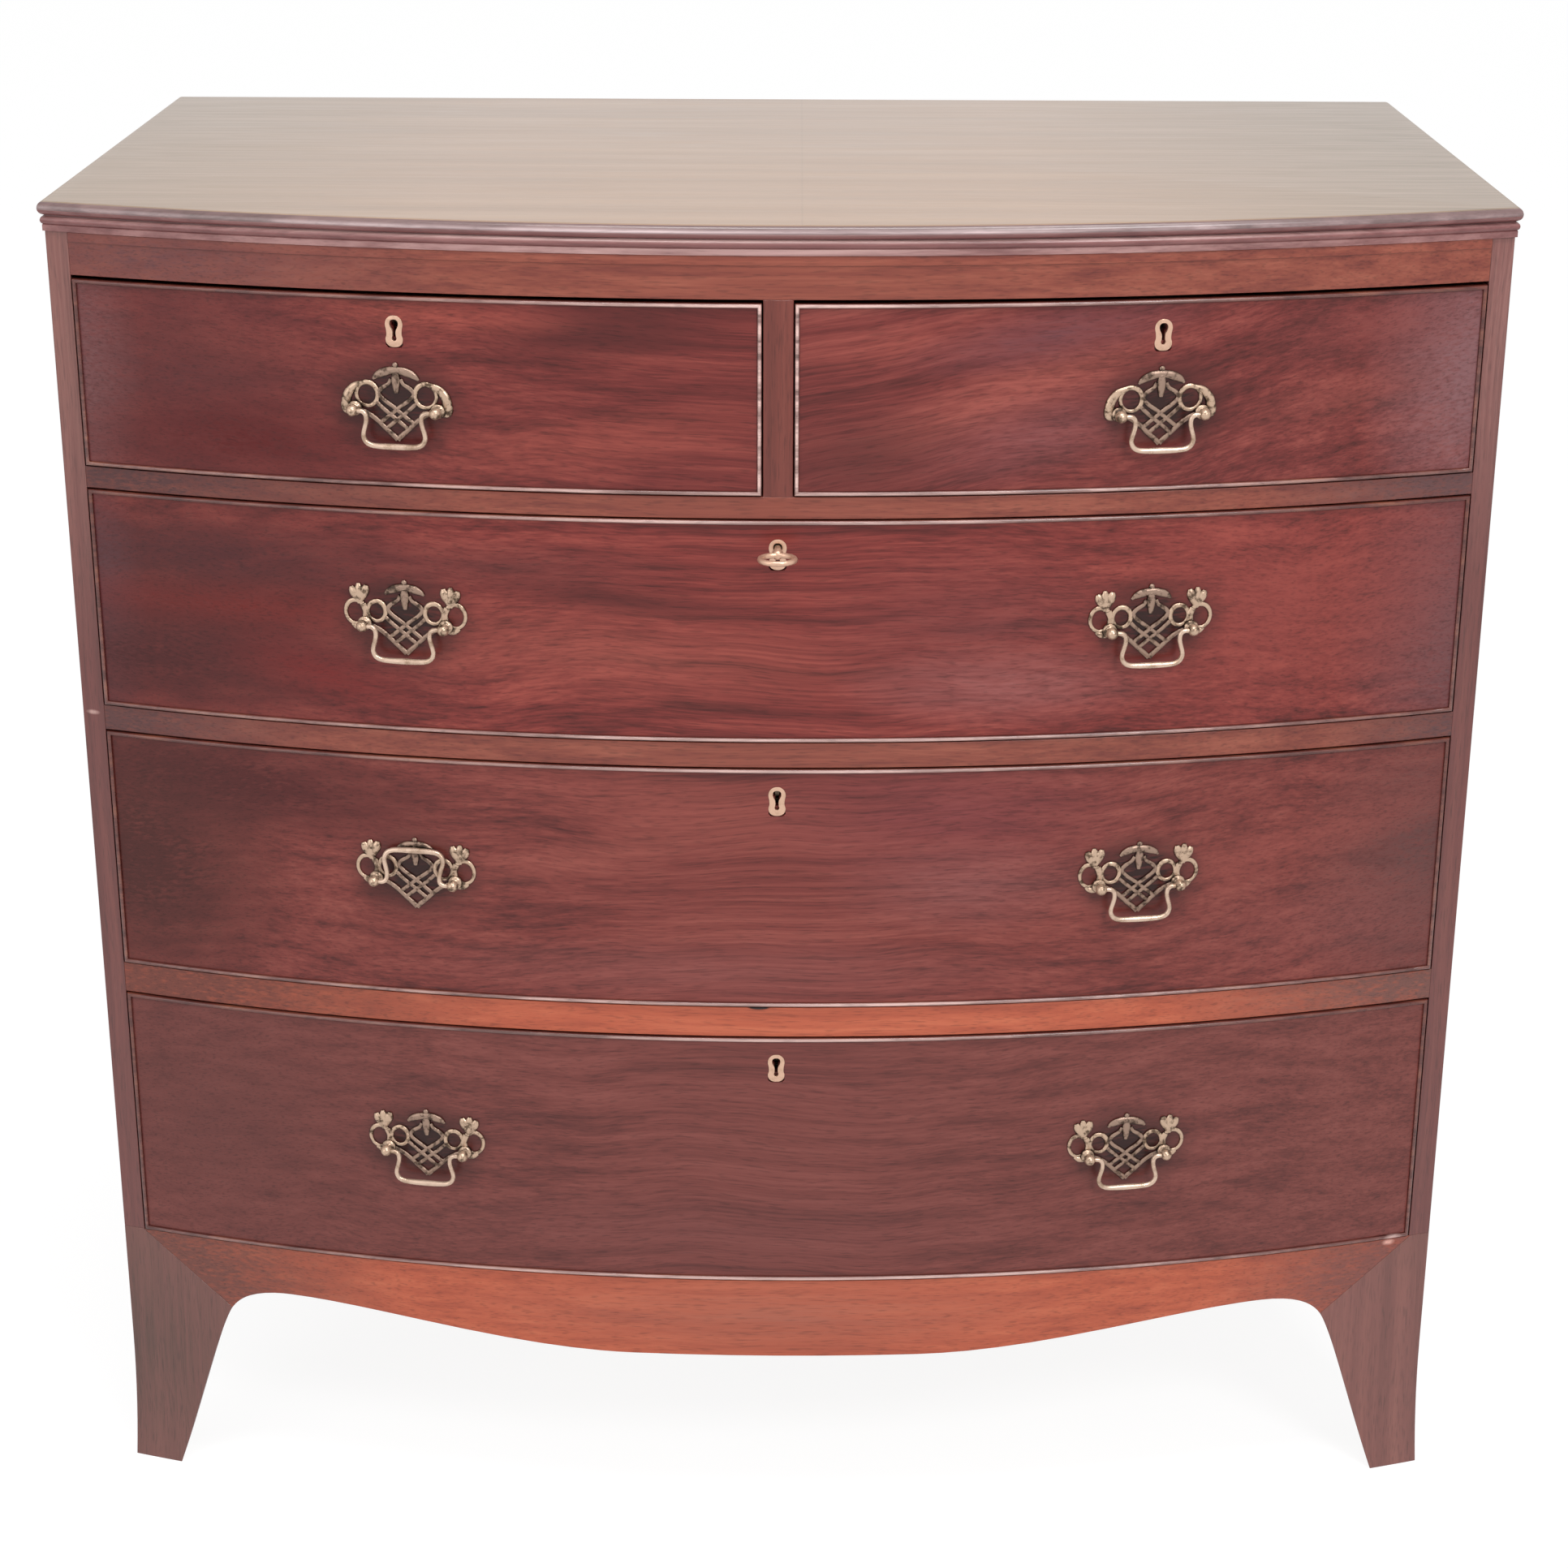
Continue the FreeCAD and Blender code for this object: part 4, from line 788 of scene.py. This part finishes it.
def makePulls(name):
    form = pullForms["narrow" if name.startswith("upper") else "wide"]
    work = bmesh.new()
    for handle in handlesOf(name):
        place = handleFrame(handle)
        for index, (paths, finish) in enumerate(platePaths(form)):
            plate = runTree("plate", sweepTree, pathMesh("platePaths", paths), Width=mm(pull["strapWidth"]),
                            Height=mm(pull["strapHeight"]), Sides=pull["strapSides"],
                            Smoothing=pull["strapSmoothing"], Finish=finish)
            plate.transform(place)
            for face in plate.polygons:
                face.material_index = index
            work.from_mesh(plate)
            bpy.data.meshes.remove(plate)
        for side in (1, -1):
            post = Vector(onFace(side * pull["postSpacing"], 0, 0))
            lathe(work, place @ Matrix.Translation(post), pull["ball"])
    bmesh.ops.recalc_face_normals(work, faces=work.faces)
    node = "drawer_" + name + "_pulls"
    piece = smoothPiece(node + "_cast", work)
    settle(piece, node, "brass", agedBrass, shadedBrass)


def makeBail(handle):
    right = pull["bail"]
    whole = right + [(-u, w, swell) for u, w, swell in reversed(right[:-1])]
    swing = math.radians(pull["raised"] if handle == "bail_long_middle_left" else 0.0)
    points = []
    for u, w, _ in whole:                   # swung outwards and up about its pins
        points.append((mm(u), mm(w * math.cos(swing)), mm(pull["postReach"] - w * math.sin(swing))))
    source = pathMesh("bailPath", [(points, [swell for _, _, swell in whole], False)])
    mesh = runTree("bail", sweepTree, source, Width=mm(pull["bailWidth"]), Height=mm(pull["bailWidth"]),
                   Sides=pull["bailSides"], Smoothing=pull["bailSmoothing"], Finish=handledBrass)
    mesh.transform(handleFrame(handle))
    mesh.name = handle + "_swan"
    settle(addObject(handle + "_swan", mesh), handle, "brass", handledBrass)


for name in drawerNames:
    makePulls(name)
    for handle in handlesOf(name):
        makeBail(handle)
print("pulls:", sum(len(handlesOf(name)) for name in drawerNames))


# locks: the CAD cases, with keyhole plates of smooth outline; millimetres from the key's axis
keyPlate = {
    "outline": [(0.0, 6.0), (4.1, 4.5), (6.0, 0.8), (5.4, -4.2), (5.3, -7.4), (6.0, -10.8), (4.4, -14.4),
                (0.0, -15.8)],
    "hole": [(0.0, 3.6), (2.6, 2.6), (3.3, 0.1), (2.5, -2.6), (1.6, -4.4), (1.5, -8.2), (1.9, -10.2),
             (0.0, -12.0)],
    "below": 20.0, "proud": 0.4, "thickness": 2.6, "edge": 0.25, "edgeSteps": 2, "smoothing": 6,
    "reachIn": 6.0, "caseEasing": 0.35, "boltEasing": 0.4, "weld": 0.002, "sharpAngle": 40,
}


def keyFrame(name):
    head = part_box("drawer_" + name + "_cock_beads")[1].z
    if name.startswith("upper"):
        place = handleFrame("bail_" + name)
    else:
        place = Matrix(((1, 0, 0, 0), (0, 0, -1, bow["frontY"]), (0, 1, 0, 0), (0, 0, 0, 1)))
    place[2][3] = head - mm(keyPlate["below"])
    return place


def keyPlateMesh(place):
    outline = bpy.data.curves.new("keyPlate", "CURVE")
    outline.dimensions = "2D"
    outline.fill_mode = "BOTH"
    outline.extrude = mm(keyPlate["thickness"] / 2 - keyPlate["edge"])
    outline.bevel_depth = mm(keyPlate["edge"])
    outline.bevel_resolution = keyPlate["edgeSteps"]
    for right in (keyPlate["outline"], keyPlate["hole"]):
        ring = right + [(-u, w) for u, w in reversed(right[1:-1])]
        spline = outline.splines.new("BEZIER")
        spline.bezier_points.add(len(ring) - 1)
        for point, (u, w) in zip(spline.bezier_points, ring):
            point.co = (mm(u), mm(w), 0)
            point.handle_left_type = point.handle_right_type = "AUTO"
        spline.use_cyclic_u = True
        spline.resolution_u = keyPlate["smoothing"]
    piece = addObject("keyPlate", outline)
    mesh = plainMesh(piece)
    bpy.data.objects.remove(piece)
    mesh.transform(place @ Matrix.Translation((0, 0, mm(keyPlate["proud"] - keyPlate["thickness"] / 2))))
    return mesh


def makeLock(name):
    node = "drawer_" + name + "_lock"
    place = keyFrame(name)
    inward = place.inverted()
    plateStart = -mm(keyPlate["reachIn"])
    work = weldedCopy(node)
    plate = [v for v in work.verts if (inward @ v.co).z > plateStart]        # the CAD keyhole plate
    bmesh.ops.delete(work, geom=plate, context="VERTS")
    piece = easedPiece(node + "_fitted", work, keyPlate["caseEasing"])
    work = bmesh.new()
    work.from_mesh(piece.data)
    work.from_mesh(keyPlateMesh(place))
    bmesh.ops.remove_doubles(work, verts=work.verts, dist=mm(keyPlate["weld"]))
    for face in work.faces:
        face.material_index = 1 if (inward @ face.calc_center_median()).z > plateStart else 0
    bmesh.ops.recalc_face_normals(work, faces=work.faces)
    work.to_mesh(piece.data)
    work.free()
    piece.data.set_sharp_from_angle(angle=math.radians(keyPlate["sharpAngle"]))
    settle(piece, node, "brass", agedBrass, cleanBrass)
    bolt = "drawer_" + name + "_bolt"
    piece = easedPiece(bolt + "_forged", weldedCopy(bolt), keyPlate["boltEasing"])
    settle(piece, bolt, "steel", forgedSteel)


for name in drawerNames:
    makeLock(name)
print("locks:", len(drawerNames))


# cock beads: a half-round lip right round each drawer front, paler on the crown near the middle from rubbing and
# painted highlight; millimetres
bead = {
    "width": 3.0, "proud": 2.2, "depth": 9.9, "edgeDepth": 21.8, "edgeInset": 0.12, "edgeSlant": 0.2,
    "lipBack": 0.5, "arcSteps": 60, "roundSteps": 8, "sharpAngle": 50, "wearAndHighlight": {"lower": 0.95, "upper": 0.9},
    "reach": {"lower": 330.0, "upper": 230.0},
    "lockRoom": ((-32.05, 14.0, -24.0), (32.05, 22.0, -10.55)),    # for the lock's top plate and bolt
}


def beadSection():
    # (inset, proud) all round the bead, from the back of its outer side
    half = bead["width"] / 2
    points = [(bead["edgeInset"], -bead["edgeDepth"]), (bead["edgeInset"], -bead["depth"]),
              (0.0, bead["edgeSlant"] - bead["depth"])]
    for step in range(bead["roundSteps"] + 1):
        turn = math.radians(180 - 180 * step / bead["roundSteps"])
        points.append((half + half * math.cos(turn), bead["proud"] - half + half * math.sin(turn)))
    return points + [(bead["width"], -bead["lipBack"]), (bead["width"], -bead["edgeDepth"])]


def makeBead(name):
    node = "drawer_" + name + "_cock_beads"
    low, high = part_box(node)
    half = bead["width"] / 2
    work = bmesh.new()
    wearAndHighlight = work.verts.layers.float.new("wearAndHighlight")
    rows = []
    for inset, proud in beadSection():
        left, right = low.x + mm(inset), high.x - mm(inset)
        crown = max(0.0, (proud - bead["proud"] + half) / half) ** 2
        runs = (("lower", low.z + mm(inset), left, right), ("upper", high.z - mm(inset), right, left))
        row = []
        for run, z, start, end in runs:
            for step in range(bead["arcSteps"] + 1):
                x = start + (end - start) * step / bead["arcSteps"]
                vert = work.verts.new((x, bowY(x, mm(proud)), z))
                # the crown paled by rubbing and painted highlight, fading away from the middle as the bow turns
                vert[wearAndHighlight] = crown * bead["wearAndHighlight"][run] * math.exp(-(x / mm(bead["reach"][run])) ** 2)
                row.append(vert)
        rows.append(row)
    joinRows(work, rows + rows[:1])
    bmesh.ops.recalc_face_normals(work, faces=work.faces)
    piece = smoothPiece(node + "_round", work)
    work = bmesh.new()
    addBlock(work, keyFrame(name), *bead["lockRoom"])
    block = smoothPiece("lockRoom", work)
    cut = piece.modifiers.new("lockRoom", "BOOLEAN")
    cut.solver = "EXACT"
    cut.object = block
    piece.data = plainMesh(piece)
    bpy.data.objects.remove(block)
    piece.data.shade_smooth()
    piece.data.set_sharp_from_angle(angle=math.radians(bead["sharpAngle"]))
    settle(piece, node, "mahogany_bead", beadWood)


for name in drawerNames:
    makeBead(name)
print("cock beads:", len(drawerNames))


# key: turned stem with collars, an oval bow that lies level, and its bit inside the lock; millimetres
key = {
    "stem": [(1.2, -19.9), (2.3, -19.5), (2.4, -17.8), (2.4, 11.0), (3.0, 12.0), (3.9, 13.4), (3.9, 14.4),
             (2.7, 15.6), (2.6, 16.4), (3.6, 17.2), (3.5, 18.2), (2.4, 19.4), (1.6, 20.0)],
    "bowCentre": 29.0, "bowHalf": (12.1, 10.6), "bowWidth": 3.8, "bowHeight": 3.9, "bowSwell": 0.08,
    "bowSides": 14, "bowSmoothing": 3, "steps": 24, "bit": ((0.0, -1.05, -19.6), (7.2, 1.05, -16.0)),
    "bitEasing": 0.3, "sharpAngle": 45,
}


def makeKey():
    place = keyFrame("long_top")
    work = bmesh.new()
    lathe(work, place, key["stem"], key["steps"])
    across, along = (mm(half) for half in key["bowHalf"])
    ring = roundPath(across, along, key["steps"])
    swells = [1.0 + key["bowSwell"] * abs(point.x) / across for point in ring]
    source = pathMesh("keyBowPath", [(ring, swells, True)])
    bowRing = runTree("keyBow", sweepTree, source, Width=mm(key["bowWidth"]), Height=mm(key["bowHeight"]),
                      Sides=key["bowSides"], Smoothing=key["bowSmoothing"], Finish=cleanBrass)
    bowRing.transform(Matrix.Translation(place @ Vector((0, 0, mm(key["bowCentre"])))))
    work.from_mesh(bowRing)
    # the bit is eased last, so that the faces keep one order in every run
    bit = addBlock(work, place, *key["bit"])
    edges = list({edge for vert in bit for edge in vert.link_edges})
    bmesh.ops.bevel(work, geom=edges, offset=mm(key["bitEasing"]), segments=2, affect="EDGES")
    bmesh.ops.recalc_face_normals(work, faces=work.faces)
    piece = smoothPiece("key_turned", work, key["sharpAngle"])
    settle(piece, "key", "brass", cleanBrass)


makeKey()
print("key: on the upper long drawer")


# fixings: nuts and stubs of the posts inside each drawer, and screws in the lock cases; millimetres
fixing = {
    "inside": 22.0, "lockBack": 22.6, "screwPlaces": [(-19, -18), (19, -18), (-19, 10), (19, 10)],
    "nut": {"radius": 5.2, "depth": 3.2, "sides": 6, "sunk": 0.3},
    "stub": {"radius": 1.8, "depth": 6.0, "sides": 12, "sunk": 0.5},
    "screw": {"radius": 2.6, "depth": 1.0, "sides": 16}, "easing": 0.25, "easedAngle": 0.6,
}


def buildFixings():
    tree, entry = newTree("fixingsOnPoints", (
        ("Points", "Geometry", None), ("Radius", "Float", mm(5)), ("Depth", "Float", mm(3)),
        ("Sides", "Int", 6), ("Finish", "Material", None)))
    head = addNode(tree, "GeometryNodeMeshCylinder", {
        "Vertices": entry["Sides"], "Radius": entry["Radius"], "Depth": entry["Depth"]})
    aim = addNode(tree, "GeometryNodeInputNamedAttribute", {"Name": "aim"}, data_type="FLOAT_VECTOR")
    turn = addNode(tree, "FunctionNodeAlignRotationToVector", {"Vector": aim}, axis="Z")
    placed = addNode(tree, "GeometryNodeInstanceOnPoints", {
        "Points": entry["Points"], "Instance": head, "Rotation": turn})
    placed = addNode(tree, "GeometryNodeRealizeInstances", {"Geometry": placed})
    placed = addNode(tree, "GeometryNodeSetMaterial", {
        "Geometry": placed, "Material": entry["Finish"]})
    addNode(tree, "NodeGroupOutput", {"Piece": placed})
    return tree


fixingTree = buildFixings()


def fixingMesh(points, form, finish):
    # points: (place, direction); one head stands on each
    source = bpy.data.meshes.new("fixingPoints")
    source.from_pydata([place for place, _ in points], [], [])
    aim = source.attributes.new("aim", "FLOAT_VECTOR", "POINT")
    aim.data.foreach_set("vector", [c for _, direction in points for c in direction])
    return runTree("fixings", fixingTree, source, Radius=mm(form["radius"]), Depth=mm(form["depth"]),
                   Sides=form["sides"], Finish=finish)


def makeFixings(name):
    points = {"nut": [], "stub": [], "screw": []}
    for handle in handlesOf(name):
        place = handleFrame(handle)
        inwards = -(place.to_3x3() @ Vector((0, 0, 1)))
        for u in (mm(pull["postSpacing"]), -mm(pull["postSpacing"])):
            sink = u * u / (2 * (bow["radius"] - mm(fixing["inside"])))
            for kind in ("nut", "stub"):
                form = fixing[kind]
                deep = sink + mm(fixing["inside"] + form["depth"] / 2 - form["sunk"])
                points[kind].append((place @ Vector((u, 0, -deep)), inwards))
    place = keyFrame(name)
    inwards = -(place.to_3x3() @ Vector((0, 0, 1)))
    for u, w in fixing["screwPlaces"]:
        points["screw"].append((place @ Vector((mm(u), mm(w), -mm(fixing["lockBack"]))), inwards))
    work = bmesh.new()
    for kind, finish in (("nut", agedBrass), ("stub", agedBrass), ("screw", forgedSteel)):
        mesh = fixingMesh(points[kind], fixing[kind], finish)
        for face in mesh.polygons:
            face.material_index = 1 if kind == "screw" else 0
        work.from_mesh(mesh)
    edges = [edge for edge in work.edges if edge.calc_face_angle(0) > fixing["easedAngle"]]
    bmesh.ops.bevel(work, geom=edges, offset=mm(fixing["easing"]), segments=1, affect="EDGES")
    mesh = bpy.data.meshes.new("drawer_" + name + "_fixings")
    work.to_mesh(mesh)
    work.free()
    mesh.materials.append(agedBrass)
    mesh.materials.append(forgedSteel)
    piece = addObject("drawer_" + name + "_fixings", mesh)
    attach(piece, "drawer_" + name)


for name in drawerNames:
    makeFixings(name)
print("fixings: nuts and screws on", len(drawerNames), "drawers")


# studio: white ground and backdrop, soft light from the front right and above
studio = {
    "floorHalf": 40.0, "worldLight": 0.52, "shadowShare": 0.2, "paper": 0.95, "paperGlow": 1.12,
    "lamps": {        # place, target, size in metres and power in watts
        "keyLight": ((1.6, -3.2, 3.2), (0, -0.2, 0.5), (1.1, 0.9), 66),
        "fillLight": ((-2.6, -2.6, 1.8), (0, -0.2, 0.5), (2.0, 2.0), 22),
        "overheadLight": ((0.2, -1.0, 2.9), (0, -0.2, 0.6), (1.8, 0.4), 32)},
}


def areaLight(name, place, target, size, power):
    light = bpy.data.lights.new(name, "AREA")
    light.shape = "RECTANGLE"
    light.size, light.size_y = size
    light.energy = power
    lamp = bpy.data.objects.new(name, light)
    lamp.location = place
    lamp.rotation_euler = (Vector(target) - Vector(place)).to_track_quat("-Z", "Y").to_euler()
    bpy.context.scene.collection.objects.link(lamp)


def seenWhite(tree):
    # 1 for what the camera sees, itself or in polish and brass
    ray = addNode(tree, "ShaderNodeLightPath").outputs
    seen = addNode(tree, "ShaderNodeMath", {
        0: ray["Is Camera Ray"], 1: ray["Is Glossy Ray"]}, operation="ADD")
    return addNode(tree, "ShaderNodeMath", {
        0: seen, 1: ray["Is Transmission Ray"]}, operation="ADD", use_clamp=True)


def makeStudio():
    world = bpy.data.worlds.new("studioWhite")
    bpy.context.scene.world = world
    world.use_nodes = True
    tree = world.node_tree
    tree.nodes.clear()
    level = addNode(tree, "ShaderNodeMapRange", {
        "Value": seenWhite(tree), "To Min": studio["worldLight"], "To Max": 1.0})
    sky = addNode(tree, "ShaderNodeBackground", {"Color": grey(1.0), "Strength": level})
    addNode(tree, "ShaderNodeOutputWorld", {"Surface": sky})

    half = studio["floorHalf"]
    mesh = bpy.data.meshes.new("studioFloor")
    corners = [(-half, -half, 0), (half, -half, 0), (half, half, 0), (-half, half, 0)]
    mesh.from_pydata(corners, [], [(0, 1, 2, 3)])
    floor = addObject("studioFloor", mesh)
    material, tree = newMaterial("whitePaperGround")
    paper = addNode(tree, "ShaderNodeBsdfDiffuse", {"Color": grey(studio["paper"])})
    glow = addNode(tree, "ShaderNodeEmission", {"Color": grey(1.0), "Strength": studio["paperGlow"]})
    share = addNode(tree, "ShaderNodeMath", {
        0: seenWhite(tree), 1: 1 - studio["shadowShare"]}, operation="MULTIPLY")
    mixed = addNode(tree, "ShaderNodeMixShader", {0: share, 1: paper, 2: glow})
    addNode(tree, "ShaderNodeOutputMaterial", {"Surface": mixed})
    mesh.materials.append(material)
    for name, lamp in studio["lamps"].items():
        areaLight(name, *lamp)


# camera: where the photograph was taken from, worked out from the corners of the chest; metres and degrees
view = {"place": (0.0127, -2.3698, 1.3982), "yaw": -0.21, "pitch": 20.48, "roll": 0.22, "sensor": 36.0,
        "focal": 3795 / 1932}               # focal length over the width of the frame, in pixels


def makeCamera():
    yaw, pitch, roll = (math.radians(view[name]) for name in ("yaw", "pitch", "roll"))
    forward = Vector((math.sin(yaw) * math.cos(pitch), math.cos(yaw) * math.cos(pitch), -math.sin(pitch)))
    right = Vector((math.cos(yaw), -math.sin(yaw), 0))
    up = right.cross(forward)
    tilted = right * math.cos(roll) + up * math.sin(roll)
    upright = up * math.cos(roll) - right * math.sin(roll)
    data = bpy.data.cameras.new("photoCamera")
    data.sensor_width = view["sensor"]
    data.sensor_fit = "HORIZONTAL"
    data.lens = view["sensor"] * view["focal"]
    camera = bpy.data.objects.new("photoCamera", data)
    turn = Matrix((tilted, upright, -forward)).transposed().to_4x4()
    camera.matrix_world = Matrix.Translation(view["place"]) @ turn
    bpy.context.scene.collection.objects.link(camera)
    bpy.context.scene.camera = camera


makeStudio()
makeCamera()
bpy.context.scene.view_settings.view_transform = "Standard"
print("studio: camera and light set")
